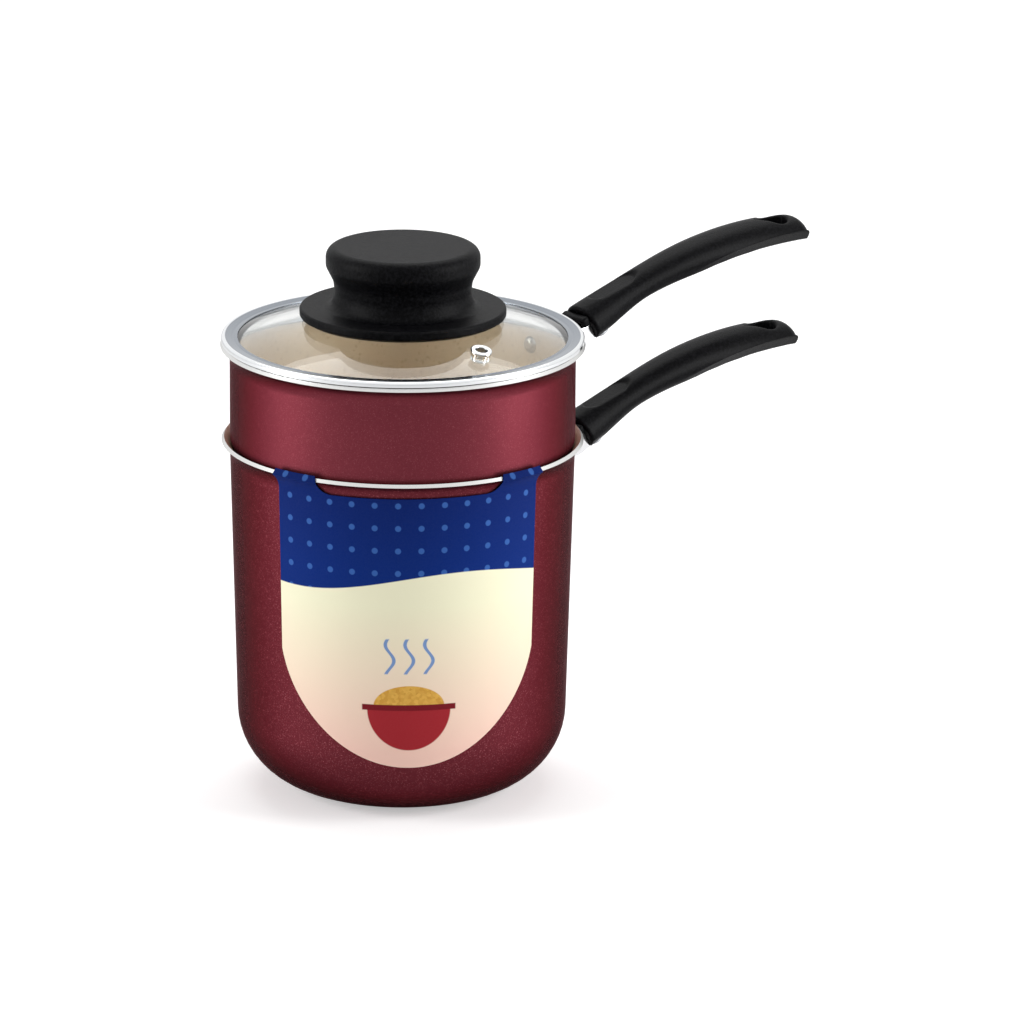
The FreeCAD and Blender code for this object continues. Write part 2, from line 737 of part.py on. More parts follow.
# Steel screw that comes up through the handle into the roof of the channel.
def build_handle_screw(label, reach, z, turn):
    body = new_body(label)
    body.setExpression(".Placement.Base.z", None)
    body.Placement = Placement(
        Vector(0, 0, value(z)), Rotation(Vector(0, 0, 1), value(turn))
    ) * along_handle(reach, "handle_screw_reach")
    profile = new_sketch(body, f"{label}_profile")
    head = "-handle_screw_seat - screw_clear"
    draw_outline(
        profile,
        [
            ("0", f"{head} - handle_screw_head_rise"),
            ("handle_screw_head", f"{head} - handle_screw_head_rise", "handle_screw_head_rise / 2"),
            ("handle_screw_head", head),
            ("handle_screw", head),
            ("handle_screw", "channel_height / 2"),
            ("0", "channel_height / 2"),
        ],
    )
    revolve(body, profile)
    cut_cross(body, "handle_screw_head", f"{head} - handle_screw_head_rise")
    return body


def outer_glass(radius):
    """Height of the glass's outer face at a radius, in the lid."""
    return f"({GLASS_CENTRE} + sqrt(glass_curve ^ 2 - ({radius}) ^ 2))"


def inner_glass(radius):
    """Height of the glass's inner face at a radius, in the lid."""
    return f"({GLASS_CENTRE} + sqrt({GLASS_INSIDE} ^ 2 - ({radius}) ^ 2))"


def vent_place():
    """Place of the steam vent on the outer face of the glass, square to it."""
    radius = value("vent_reach")
    around = Rotation(Vector(0, 0, 1), value("vent_turn"))
    lean = math.degrees(math.asin(radius / value("glass_curve")))
    spot = around.multVec(Vector(radius, 0, value(outer_glass("vent_reach"))))
    return Placement(spot, around * Rotation(Vector(0, 1, 0), lean))


# Domed tempered glass with a ground edge, bored for the knob's screw and for the steam vent.
def build_glass():
    body = new_body("lid_glass", LID_Z, "steamer_turn")
    profile = new_sketch(body, "glass_profile")
    draw_outline(
        profile,
        [
            ("glass_bore", outer_glass("glass_bore")),
            (GLASS_RADIUS, outer_glass(GLASS_RADIUS)),
            (GLASS_RADIUS, inner_glass(GLASS_RADIUS)),
            ("glass_bore", inner_glass("glass_bore")),
        ],
        {0: ("glass_curve", False), 2: (GLASS_INSIDE, True)},
    )
    revolve(body, profile)
    hole = new_sketch(body, "vent_hole", "XY_Plane")
    hole.AttachmentOffset = vent_place()
    draw_circle(hole, "vent_bore + vent_sheet + vent_clear")
    pocket(body, hole, "4 * glass_thickness", both_ways=True)
    return body


# Stainless band rolled from one strip: a hollow flange that rests on the steamer's lip, a wall
# down the glass's edge and a hem turned under it.
def build_band():
    body = new_body("lid_band", LID_Z, "steamer_turn")
    wall = f"({GLASS_RADIUS} + glass_clear)"
    floor = f"({inner_glass(GLASS_RADIUS)} - glass_clear)"
    profile = new_sketch(body, "band_profile")
    draw_outline(
        profile,
        [
            (f"{wall} + band_sheet", "0"),
            (BAND_RADIUS, "0", "band_sheet"),
            (BAND_RADIUS, "band_height", "band_round"),
            (BAND_INNER, "band_height"),
            (BAND_INNER, "band_height - band_sheet"),
            (f"{BAND_RADIUS} - band_sheet", "band_height - band_sheet"),
            (f"{BAND_RADIUS} - band_sheet", "band_sheet"),
            (wall, "band_sheet"),
            (wall, floor),
            (f"{wall} - band_hem", floor),
            (f"{wall} - band_hem", f"{floor} - band_sheet"),
            (f"{wall} + band_sheet", f"{floor} - band_sheet", "band_round"),
        ],
    )
    revolve(body, profile)
    return body


# Steel eyelet that lines the steam vent, flanged above the glass and rolled over below it.
def build_vent():
    body = new_body("vent_eyelet")
    body.setExpression(".Placement.Base.z", None)
    lid = Placement(Vector(0, 0, value(LID_Z)), Rotation(Vector(0, 0, 1), value("steamer_turn")))
    body.Placement = lid * vent_place()
    profile = new_sketch(body, "vent_profile")
    tube = "(vent_bore + vent_sheet)"
    low = "(-glass_thickness - vent_clear)"
    draw_outline(
        profile,
        [
            ("vent_bore", f"{low} - vent_sheet"),
            ("vent_flange - vent_sheet", f"{low} - vent_sheet"),
            ("vent_flange - vent_sheet", low),
            (tube, low),
            (tube, "vent_clear"),
            ("vent_flange", "vent_clear"),
            ("vent_flange", "vent_rise", "vent_round"),
            ("vent_bore", "vent_rise", "vent_round"),
        ],
    )
    revolve(body, profile)
    return body


# Moulded knob: a broad round head on a waisted neck, and a wide flange that shades the glass.
def build_knob():
    body = new_body("lid_knob", f"{LID_Z} + {GLASS_TOP}")
    foot = "(knob_flange - knob_foot_inset)"
    bore = "(knob_screw + screw_clear)"
    seat = "(glass_curve + knob_clear)"
    profile = new_sketch(body, "knob_profile")
    draw_outline(
        profile,
        [
            ("0", "knob_height"),
            ("knob_radius", "knob_height", "knob_round"),
            ("knob_radius", "knob_height - knob_head", "knob_head_round"),
            ("knob_waist + knob_neck_step", "knob_height - knob_under", "knob_neck_round"),
            ("knob_waist", "knob_flange_top + knob_waist_rise", "knob_neck_round"),
            ("knob_waist + knob_foot_flare", "knob_flange_top", "knob_foot_round"),
            ("knob_flange", "knob_flange_top", "knob_flange_round"),
            ("knob_flange", "knob_flange_top - knob_flange_side", "knob_flange_round"),
            (foot, f"sqrt({seat} ^ 2 - {foot} ^ 2) - glass_curve"),
            (bore, f"sqrt({seat} ^ 2 - {bore} ^ 2) - glass_curve"),
            (bore, "knob_bore_depth"),
            ("0", "knob_bore_depth"),
        ],
        {8: (seat, True)},
    )
    revolve(body, profile)
    return body


# Moulded washer under the glass. Its collar keeps the screw off the bored glass.
def build_knob_washer():
    body = new_body("lid_knob_washer", f"{LID_Z} + {GLASS_TOP} - glass_thickness")
    bore = "knob_screw + screw_clear"
    profile = new_sketch(body, "washer_profile")
    draw_outline(
        profile,
        [
            (bore, "knob_collar"),
            ("glass_bore - glass_clear", "knob_collar"),
            ("glass_bore - glass_clear", "-glass_clear"),
            ("knob_washer", WASHER_RIM),
            ("knob_washer", f"{WASHER_RIM} - knob_washer_thickness", "knob_washer_round"),
            (bore, f"{WASHER_RIM} - knob_washer_thickness"),
        ],
    )
    revolve(body, profile)
    return body


# Steel screw that draws the knob and the washer together through the glass.
def build_knob_screw():
    head = f"({WASHER_RIM} - knob_washer_thickness - screw_clear)"
    body = new_body("lid_knob_screw", f"{LID_Z} + {GLASS_TOP} - glass_thickness")
    profile = new_sketch(body, "knob_screw_profile")
    draw_outline(
        profile,
        [
            ("0", f"{head} - knob_screw_head_rise"),
            ("knob_screw_head", f"{head} - knob_screw_head_rise", "knob_screw_head_rise / 2"),
            ("knob_screw_head", head),
            ("knob_screw", head),
            ("knob_screw", "glass_thickness + knob_bore_depth - 2 * screw_clear"),
            ("0", "glass_thickness + knob_bore_depth - 2 * screw_clear"),
        ],
    )
    revolve(body, profile)
    cut_cross(body, "knob_screw_head", f"{head} - knob_screw_head_rise")
    return body


def rounded_foot(half, foot, waist):
    """The lower half of an ellipse whose axes are the card's width and the depth of its foot."""
    centre = Vector(0, waist, 0)
    if foot >= half:
        ellipse = Part.Ellipse(Vector(0, waist + foot, 0), Vector(-half, waist, 0), centre)
        return Part.ArcOfEllipse(ellipse, math.pi / 2, math.pi * 1.5)
    ellipse = Part.Ellipse(Vector(half, waist, 0), Vector(0, waist + foot, 0), centre)
    return Part.ArcOfEllipse(ellipse, math.pi, math.tau)


# Printed card that follows the pot's wall, ends in a half round, leaves a window at the mouth
# and hooks over the lip at both sides of it.
def build_card():
    body = new_body("label_card", "0", "card_turn")
    profile = new_sketch(body, "card_profile")
    lip_r = f"(pot_radius + pot_flare_reach * {FLARE_OUT})"
    lip_z = f"({POT_BEND_Z} + pot_flare_reach * {FLARE_UP})"

    def beside(off):
        """The corners of the card's face that lies a distance off the pot, from the bottom."""
        edge_r = f"{lip_r} - sheet_wall * {FLARE_UP} + ({off}) * ({FLARE_OUT} - {FLARE_UP})"
        edge_z = f"{lip_z} + sheet_wall * {FLARE_OUT} + ({off}) * ({FLARE_OUT} + {FLARE_UP})"
        hook_r = f"{lip_r} - (sheet_wall + {off}) * {FLARE_UP} + (card_clear) * {FLARE_OUT}"
        hook_z = f"{lip_z} + (sheet_wall + {off}) * {FLARE_OUT} + (card_clear) * {FLARE_UP}"
        return [
            (f"{pot_wall_at('card_bottom')} + {off}", "card_bottom"),
            (
                f"pot_radius + {off}",
                f"{POT_BEND_Z} - ({off}) * tan(flare_angle / 2)",
                f"flare_bend - ({off})",
            ),
            (
                f"{lip_r} + ({off}) * ({FLARE_OUT} + {FLARE_UP})",
                f"{lip_z} + ({off}) * ({FLARE_UP} - {FLARE_OUT})",
            ),
            (edge_r, edge_z),
            (f"{hook_r} - card_hook_drop * {FLARE_OUT}", f"{hook_z} - card_hook_drop * {FLARE_UP}"),
        ]

    draw_outline(profile, beside("card_clear") + beside("card_clear + card_thickness")[::-1])
    revolve(body, profile, "card_sweep", both_ways=True)

    half = value("pot_radius * sin(card_sweep / 2)")
    foot = value("card_foot")
    waist = value("card_bottom") + foot
    below = -value("pot_flare_reach")
    wide = value("pot_radius + pot_flare_reach")
    trim = new_sketch(body, "card_trim", "YZ_Plane")
    ellipse = rounded_foot(half, foot, waist)
    corners = [
        Vector(-half, waist, 0),
        Vector(-wide, waist, 0),
        Vector(-wide, below, 0),
        Vector(wide, below, 0),
        Vector(wide, waist, 0),
        Vector(half, waist, 0),
    ]
    edges = [Part.LineSegment(a, b) for a, b in zip(corners, corners[1:])]
    trim.addGeometry([ellipse] + edges, False)
    pocket(body, trim, ACROSS_POT, both_ways=True)

    low = "pot_height - card_window_below_lip"
    window = new_sketch(body, "card_window", "YZ_Plane")
    draw_outline(
        window,
        [
            ("-card_window_half", low, "card_window_round"),
            ("card_window_half", low, "card_window_round"),
            ("card_window_half", "pot_height + pot_flare_reach"),
            ("-card_window_half", "pot_height + pot_flare_reach"),
        ],
    )
    pocket(body, window, ACROSS_POT, both_ways=True)
    return body


POT_REACH = f"({pot_wall_at(POT_BRACKET)} + handle_stand_off)"
STEAMER_REACH = "(pot_radius + handle_stand_off)"

build_pot()
build_bracket(
    "lower_handle_bracket",
    pot_wall_at(f"{POT_BRACKET} - bracket_plate_down"),
    pot_wall_at(f"{POT_BRACKET} + bracket_plate_up"),
    "bracket_plate_up",
    POT_REACH,
    POT_BRACKET,
    "0",
)
build_rivet(
    "lower_handle_rivet",
    f"({pot_wall_at(POT_BRACKET + ' - rivet_drop')} - sheet_wall)",
    pot_wall_at(f"{POT_BRACKET} - rivet_drop"),
    POT_BRACKET,
    "0",
)
build_handle("lower_handle", POT_REACH, POT_BRACKET, "0")
build_handle_screw("lower_handle_screw", POT_REACH, POT_BRACKET, "0")

build_steamer()
build_bracket(
    "steamer_handle_bracket",
    "pot_radius",
    "pot_radius",
    f"(steamer_bracket_below_lip - {FLARE_DROP} - {BEND_RISE})",
    STEAMER_REACH,
    STEAMER_BRACKET,
    "steamer_turn",
)
build_rivet(
    "steamer_handle_rivet",
    "(pot_radius - sheet_wall)",
    "pot_radius",
    STEAMER_BRACKET,
    "steamer_turn",
)
build_handle("steamer_handle", STEAMER_REACH, STEAMER_BRACKET, "steamer_turn")
build_handle_screw("steamer_handle_screw", STEAMER_REACH, STEAMER_BRACKET, "steamer_turn")

build_glass()
build_band()
build_vent()
build_knob()
build_knob_washer()
build_knob_screw()
build_card()
doc.recompute()

for thing in doc.Objects:
    if "Invalid" in thing.State or "Error" in thing.State:
        raise RuntimeError(f"{thing.Label} failed: {thing.State}")
bodies = [thing for thing in doc.Objects if thing.isDerivedFrom("PartDesign::Body")]
for body in bodies:
    if body.Shape.isNull() or not body.Shape.isValid() or len(body.Shape.Solids) != 1:
        raise RuntimeError(f"{body.Label} is not one valid solid")

os.makedirs("parts", exist_ok=True)
for body in bodies:
    body.Shape.exportStep(f"parts/{body.Label}.step")
    print(body.Label, round(body.Shape.Volume), "mm3")
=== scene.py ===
import math

import bmesh
import bpy
from mathutils import Matrix, Vector


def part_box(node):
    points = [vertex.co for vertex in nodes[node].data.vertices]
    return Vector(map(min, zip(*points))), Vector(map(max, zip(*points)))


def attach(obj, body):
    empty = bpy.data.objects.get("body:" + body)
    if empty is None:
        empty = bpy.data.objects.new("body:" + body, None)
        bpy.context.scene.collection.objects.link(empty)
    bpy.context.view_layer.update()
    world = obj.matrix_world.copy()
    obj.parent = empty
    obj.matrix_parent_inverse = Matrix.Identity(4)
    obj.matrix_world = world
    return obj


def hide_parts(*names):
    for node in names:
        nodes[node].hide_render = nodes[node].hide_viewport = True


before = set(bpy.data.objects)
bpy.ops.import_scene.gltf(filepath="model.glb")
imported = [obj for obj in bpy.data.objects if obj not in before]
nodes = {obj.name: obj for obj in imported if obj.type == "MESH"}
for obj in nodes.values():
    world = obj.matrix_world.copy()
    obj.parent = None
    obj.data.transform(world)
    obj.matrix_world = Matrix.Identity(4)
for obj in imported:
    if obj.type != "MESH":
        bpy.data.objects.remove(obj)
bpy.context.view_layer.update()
mm = 0.001

# The lower pot is pressed from one aluminium sheet. Outside it has a burgundy enamel with fine
# mica in it, inside a beige non-stick coat, and its flared mouth is trimmed to bare metal.
POT_HEIGHT = 108.55
POT_RADIUS = 52.1
POT_FOOT_RADIUS = 49.4
POT_CORNER = 24.0
POT_FLOOR = 2.0
POT_WALL = 1.2
POT_FLARE = 3.3
POT_ARC_STEPS = 14
FLARE_ANGLE = math.radians(50)
FLARE_OUT = math.sin(FLARE_ANGLE)
FLARE_UP = math.cos(FLARE_ANGLE)
FLARE_BEND = 6.0
TURN_STEPS = 192
SHARP_ANGLE = math.radians(32)
POT_ENAMEL = (116, 47, 56)
POT_ENAMEL_DEEP = (102, 38, 47)
POT_GLITTER = 0.4
MICA = (206, 120, 128)
SKIN_TINT = (96, 34, 44)
COAT_BEIGE = (212, 194, 168)
COAT_FLECK = (172, 152, 126)
COAT_CLOUD = (200, 178, 152)
BARE_METAL = (228, 228, 226)
BARE_METAL_MARK = (190, 190, 190)


def paint(red, green, blue):
    """A colour as it looks on a screen, 0 to 255, turned into light."""
    def one(level):
        share = level / 255
        return share / 12.92 if share <= 0.04045 else ((share + 0.055) / 1.055) ** 2.4
    return one(red), one(green), one(blue), 1.0


def dimmed(tone, share):
    return [level * share for level in tone]


class Flow:
    """A number, colour or vector on its way through a finish's nodes."""

    def __init__(self, finish, socket):
        self.finish = finish
        self.socket = socket

    def maths(self, operation, *values):
        inputs = {index: value for index, value in enumerate(values)}
        return self.finish.node("ShaderNodeMath", {"operation": operation}, inputs)

    def __add__(self, other):
        return self.maths("ADD", self, other)

    __radd__ = __add__

    def __mul__(self, other):
        return self.maths("MULTIPLY", self, other)

    __rmul__ = __mul__

    def __sub__(self, other):
        return self.maths("SUBTRACT", self, other)

    def __rsub__(self, other):
        return self.maths("SUBTRACT", other, self)

    def __truediv__(self, other):
        return self.maths("DIVIDE", self, other)

    def __pow__(self, other):
        return self.maths("POWER", self, other)

    def __abs__(self):
        return self.maths("ABSOLUTE", self)

    def over(self, level, soft):
        """1 where the number is above a level, with a soft border."""
        return ((self - level) / soft + 0.5).clamped()

    def under(self, level, soft):
        return 1 - self.over(level, soft)

    def clamped(self):
        return self.finish.node(
            "ShaderNodeClamp", {}, {"Value": self, "Min": 0.0, "Max": 1.0}
        )

    def sine(self):
        return self.maths("SINE", self)

    def fraction(self):
        return self.maths("FRACT", self)


class Finish:
    """One material of the object, built from nodes round a Principled shader."""

    def __init__(self, name):
        self.material = bpy.data.materials.new(name)
        self.material.use_nodes = True
        self.tree = self.material.node_tree
        self.shader = self.tree.nodes["Principled BSDF"]
        self.output = self.tree.nodes["Material Output"]

    def put(self, socket, value):
        if isinstance(value, Flow):
            self.tree.links.new(value.socket, socket)
        else:
            socket.default_value = value

    def node(self, kind, settings=None, inputs=None, output=0):
        """Adds a node, sets it up, feeds it and gives back one of its outputs."""
        node = self.tree.nodes.new(kind)
        for key, value in (settings or {}).items():
            setattr(node, key, value)
        for key, value in (inputs or {}).items():
            self.put(node.inputs[key], value)
        return Flow(self, node.outputs[output])

    def place(self):
        """Place on the object, in metres."""
        return self.node("ShaderNodeTexCoord", output="Object")

    def parts(self, vector):
        split = self.tree.nodes.new("ShaderNodeSeparateXYZ")
        self.tree.links.new(vector.socket, split.inputs[0])
        return [Flow(self, split.outputs[axis]) for axis in range(3)]

    def joined(self, x, y, z):
        return self.node("ShaderNodeCombineXYZ", {}, {0: x, 1: y, 2: z})

    def noise(self, size, detail=2.0, vector=None, rough=0.5):
        """Cloudy noise from 0 to 1 whose blots are about that many millimetres across."""
        inputs = {"Vector": vector or self.place(), "Scale": 1 / (size * mm),
                  "Detail": detail, "Roughness": rough}
        return self.node("ShaderNodeTexNoise", {}, inputs)

    def cells(self, size):
        """Cells about that many millimetres across, each with three numbers of its own."""
        inputs = {"Vector": self.place(), "Scale": 1 / (size * mm)}
        return self.parts(self.node("ShaderNodeTexVoronoi", {}, inputs, "Color"))

    def mixed(self, first, second, share):
        """A colour between two colours."""
        node = self.tree.nodes.new("ShaderNodeMix")
        node.data_type = "RGBA"
        self.put(node.inputs[0], share)
        self.put(node.inputs[6], first)
        self.put(node.inputs[7], second)
        return Flow(self, node.outputs[2])

    def bumped(self, height, depth, strength, normal=None):
        """A normal for a height whose full step is that many millimetres deep."""
        inputs = {"Height": height, "Distance": depth * mm, "Strength": strength}
        if normal:
            inputs["Normal"] = normal
        return self.node("ShaderNodeBump", {}, inputs)

    def shade(self, **sockets):
        """Feeds the shader. A socket's name has low lines for spaces."""
        for key, value in sockets.items():
            self.put(self.shader.inputs[key.replace("_", " ")], value)


def enamel_finish(name, lit, deep, glitter):
    """Metallic burgundy enamel: fine mica flakes under a thin clear skin."""
    finish = Finish(name)
    shown, bright, lean = finish.cells(0.22)
    base = finish.mixed(paint(*deep), paint(*lit), finish.noise(30))
    base = finish.mixed(base, paint(*dimmed(deep, 0.8)), finish.noise(0.6) * 0.5)
    glint = shown.over(0.86, 0.1) * bright
    base = finish.mixed(base, paint(*MICA), glint * glitter)
    flake_lean = finish.bumped(lean, 0.02, 0.45)
    finish.shade(
        Base_Color=base,
        Metallic=0.9 + 0.08 * glint,
        Roughness=0.34 + 0.06 * finish.noise(3, 3.0),
        Normal=finish.bumped(finish.noise(6, 1.0), 0.015, 0.2, flake_lean),
        Specular_Tint=paint(*SKIN_TINT),
        Coat_Weight=0.03,
        Coat_Roughness=0.3,
    )
    return finish.material


def coat_finish():
    """Beige non-stick coat, sprayed on, with a fine fleck."""
    finish = Finish("beige_nonstick")
    fleck = finish.cells(0.8)[0].over(0.93, 0.05)
    base = finish.mixed(paint(*COAT_BEIGE), paint(*COAT_FLECK), fleck * 0.5)
    finish.shade(
        Base_Color=finish.mixed(base, paint(*COAT_CLOUD), finish.noise(30) * 0.5),
        Roughness=0.34 + 0.14 * finish.noise(1.6),
        Normal=finish.bumped(finish.noise(0.5), 0.02, 0.4),
    )
    return finish.material


def bare_finish():
    """Trimmed aluminium edge, bright, with fine marks left by the trimming."""
    finish = Finish("trimmed_aluminium")
    marks = finish.noise(0.35, 3.0)
    finish.shade(
        Base_Color=finish.mixed(paint(*BARE_METAL), paint(*BARE_METAL_MARK), marks * 0.6),
        Metallic=1.0,
        Roughness=0.22 + 0.2 * marks,
        Normal=finish.bumped(marks, 0.015, 0.4),
    )
    return finish.material


def rounded(corners, steps):
    """Points along an outline in which each corner with a third number is an arc of that radius."""
    points = []
    for index, corner in enumerate(corners):
        here = Vector(corner[:2])
        if len(corner) < 3:
            points.append(here)
            continue
        to_last = (Vector(corners[index - 1][:2]) - here).normalized()
        to_next = (Vector(corners[(index + 1) % len(corners)][:2]) - here).normalized()
        half = to_last.angle(to_next) / 2
        radius = corner[2]
        middle = here + (to_last + to_next).normalized() * radius / math.sin(half)
        start = here + to_last * radius / math.tan(half) - middle
        end = here + to_next * radius / math.tan(half) - middle
        turn = start.angle_signed(end)
        for step in range(steps + 1):
            points.append(middle + Matrix.Rotation(-turn * step / steps, 2) @ start)
    return points


def spin_outline(mesh, points, steps):
    """Spins an outline of radii and heights round the upright axis."""
    dots = [mesh.verts.new((x, 0, z)) for x, z in points]
    edges = [mesh.edges.new(pair) for pair in zip(dots, dots[1:])]
    bmesh.ops.spin(
        mesh, geom=dots + edges, cent=(0, 0, 0), axis=(0, 0, 1), angle=math.tau,
        steps=steps, use_merge=True,
    )


def turned(name, stretches):
    """A piece turned about the pots' axis. Each stretch of its outline has a finish's number."""
    mesh = bmesh.new()
    for points, finish in stretches:
        older = set(mesh.faces)
        spin_outline(mesh, [(x * mm, z * mm) for x, z in points], TURN_STEPS)
        for face in mesh.faces:
            if face not in older:
                face.material_index = finish
    bmesh.ops.remove_doubles(mesh, verts=mesh.verts, dist=0.002 * mm)
    bmesh.ops.recalc_face_normals(mesh, faces=mesh.faces)
    return finished(name, mesh)


def finished(name, mesh):
    """The object of a mesh, smooth but for its sharp edges, riding with the pots."""
    for face in mesh.faces:
        face.smooth = True
    data = bpy.data.meshes.new(name)
    mesh.to_mesh(data)
    mesh.free()
    data.set_sharp_from_angle(angle=SHARP_ANGLE)
    piece = bpy.data.objects.new(name, data)
    bpy.context.scene.collection.objects.link(piece)
    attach(piece, "root")
    return piece


def wear(piece, *finishes):
    """Gives a piece its finishes, in the order of its material numbers."""
    slots = piece.data.materials
    for number, finish in enumerate(finishes):
        if number < len(slots):
            slots[number] = finish
        else:
            slots.append(finish)


bend_z = POT_HEIGHT - POT_FLARE * FLARE_UP - POT_WALL * FLARE_OUT
flare_lean = POT_WALL * math.tan(FLARE_ANGLE / 2)
lip_r = POT_RADIUS + POT_FLARE * FLARE_OUT
pot_outside = rounded([
    (0, 0),
    (POT_FOOT_RADIUS, 0, POT_CORNER),
    (POT_RADIUS, bend_z, FLARE_BEND),
    (lip_r, bend_z + POT_FLARE * FLARE_UP),
], POT_ARC_STEPS)
pot_inside = rounded([
    (lip_r - POT_WALL * FLARE_UP, POT_HEIGHT),
    (POT_RADIUS - POT_WALL, bend_z + flare_lean, FLARE_BEND + POT_WALL),
    (POT_FOOT_RADIUS - POT_WALL, POT_FLOOR, POT_CORNER - POT_WALL),
    (0, POT_FLOOR),
], POT_ARC_STEPS)
lower_pot = turned("spun_lower_pot", [
    (pot_outside, 0),
    ([pot_outside[-1], pot_inside[0]], 1),
    (pot_inside, 2),
])
bare = bare_finish()
coat = coat_finish()
wear(lower_pot, enamel_finish("pot_enamel", POT_ENAMEL, POT_ENAMEL_DEEP, POT_GLITTER), bare, coat)
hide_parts("lower_pot")

# The steamer pot is pressed and coated like the lower one. Its narrower part hangs inside the
# lower pot, and its base is pierced with rings of holes that let the steam up.
STEAMER_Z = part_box("steamer_pot")[0][2] / mm
STEAMER_HEIGHT = 53.95
STEAMER_RADIUS = POT_RADIUS
STEAMER_FLARE = 3.7
STEAMER_TURN = math.radians(-1.45)
STEAMER_ARC_STEPS = 12
INSERT_RADIUS = 48.4
INSERT_DEPTH = 19.5
INSERT_CORNER = 7.0
SHOULDER_RISE = 3.8
SHOULDER_BEND = 2.0
STEAM_HOLE = 1.9
STEAM_HOLE_CUT = 6
STEAM_RING_STEP = 10.5
STEAM_RING_COUNT = 6
STEAM_RINGS = 4
STEAMER_ENAMEL = (124, 53, 63)
STEAMER_ENAMEL_DEEP = (112, 45, 55)
STEAMER_GLITTER = 0.16


def raised(points, height):
    return [(x, z + height) for x, z in points]


def pierce(piece, mesh):
    """Cuts a mesh of punches out of a piece. The cut faces get the second finish."""
    for face in mesh.faces:
        face.material_index = 1
    punches = finished("punches", mesh)
    cut = piece.modifiers.new("punched", "BOOLEAN")
    cut.operation = "DIFFERENCE"
    cut.solver = "EXACT"
    cut.object = punches
    depsgraph = bpy.context.evaluated_depsgraph_get()
    whole = piece.data
    piece.data = bpy.data.meshes.new_from_object(piece.evaluated_get(depsgraph))
    piece.modifiers.clear()
    bpy.data.meshes.remove(whole)
    bpy.data.objects.remove(punches)
    piece.data.set_sharp_from_angle(angle=SHARP_ANGLE)


bend_z = STEAMER_HEIGHT - STEAMER_FLARE * FLARE_UP - POT_WALL * FLARE_OUT
lip_r = STEAMER_RADIUS + STEAMER_FLARE * FLARE_OUT
shoulder_z = INSERT_DEPTH + SHOULDER_RISE
shoulder_lean = POT_WALL * math.tan(math.atan((STEAMER_RADIUS - INSERT_RADIUS) / SHOULDER_RISE) / 2)
steamer_outside = rounded([
    (0, 0),
    (INSERT_RADIUS, 0, INSERT_CORNER),
    (INSERT_RADIUS, INSERT_DEPTH, SHOULDER_BEND),
    (STEAMER_RADIUS, shoulder_z, SHOULDER_BEND + POT_WALL),
    (STEAMER_RADIUS, bend_z, FLARE_BEND),
    (lip_r, bend_z + STEAMER_FLARE * FLARE_UP),
], STEAMER_ARC_STEPS)
steamer_inside = rounded([
    (lip_r - POT_WALL * FLARE_UP, STEAMER_HEIGHT),
    (STEAMER_RADIUS - POT_WALL, bend_z + flare_lean, FLARE_BEND + POT_WALL),
    (STEAMER_RADIUS - POT_WALL, shoulder_z + shoulder_lean, SHOULDER_BEND),
    (INSERT_RADIUS - POT_WALL, INSERT_DEPTH + shoulder_lean, SHOULDER_BEND + POT_WALL),
    (INSERT_RADIUS - POT_WALL, POT_WALL, INSERT_CORNER - POT_WALL),
    (0, POT_WALL),
], STEAMER_ARC_STEPS)
steamer = turned("spun_steamer_pot", [
    (raised(steamer_outside, STEAMER_Z), 0),
    (raised([steamer_outside[-1], steamer_inside[0]], STEAMER_Z), 1),
    (raised(steamer_inside, STEAMER_Z), 2),
])
steam_punches = bmesh.new()
for ring in range(STEAM_RINGS):
    count = max(1, ring * STEAM_RING_COUNT)
    for hole in range(count):
        turn = STEAMER_TURN + math.tau * hole / count
        spot = Matrix.Rotation(turn, 4, "Z") @ Vector((ring * STEAM_RING_STEP * mm, 0, 0))
        spot.z = STEAMER_Z * mm
        bmesh.ops.create_cone(
            steam_punches, cap_ends=True, segments=20, radius1=STEAM_HOLE * mm,
            radius2=STEAM_HOLE * mm, depth=STEAM_HOLE_CUT * mm, matrix=Matrix.Translation(spot),
        )
steamer_enamel = enamel_finish(
    "steamer_enamel", STEAMER_ENAMEL, STEAMER_ENAMEL_DEEP, STEAMER_GLITTER
)
wear(steamer, steamer_enamel, bare, coat)
pierce(steamer, steam_punches)
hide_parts("steamer_pot")

# Each handle hangs on a bracket folded from steel sheet and plated bright, held to the pot by
# one aluminium rivet. The formed head is outside, and a low dome shows inside the pot.
PLATE_TONE = (222, 222, 224)
PLATE_ROUGH = 0.10
RIVET_TONE = (205, 200, 190)
RIVET_ROUGH = 0.28


def plated_finish(name, tone, rough):
    """Bright plate over rolled sheet, with faint waviness and wiping marks."""
    finish = Finish(name)
    wipe = finish.noise(1.8, 3.0)
    finish.shade(
        Base_Color=finish.mixed(paint(*tone), paint(*dimmed(tone, 0.82)), wipe * 0.5),
        Metallic=1.0,
        Roughness=rough + 0.12 * wipe,
        Normal=finish.bumped(finish.noise(3), 0.03, 0.3),
    )
    return finish.material


plated = plated_finish("bright_plate", PLATE_TONE, PLATE_ROUGH)
rivet_metal = plated_finish("rivet_aluminium", RIVET_TONE, RIVET_ROUGH)
for owner in ("lower", "steamer"):
    wear(nodes[f"{owner}_handle_bracket"], plated)
    wear(nodes[f"{owner}_handle_rivet"], rivet_metal)

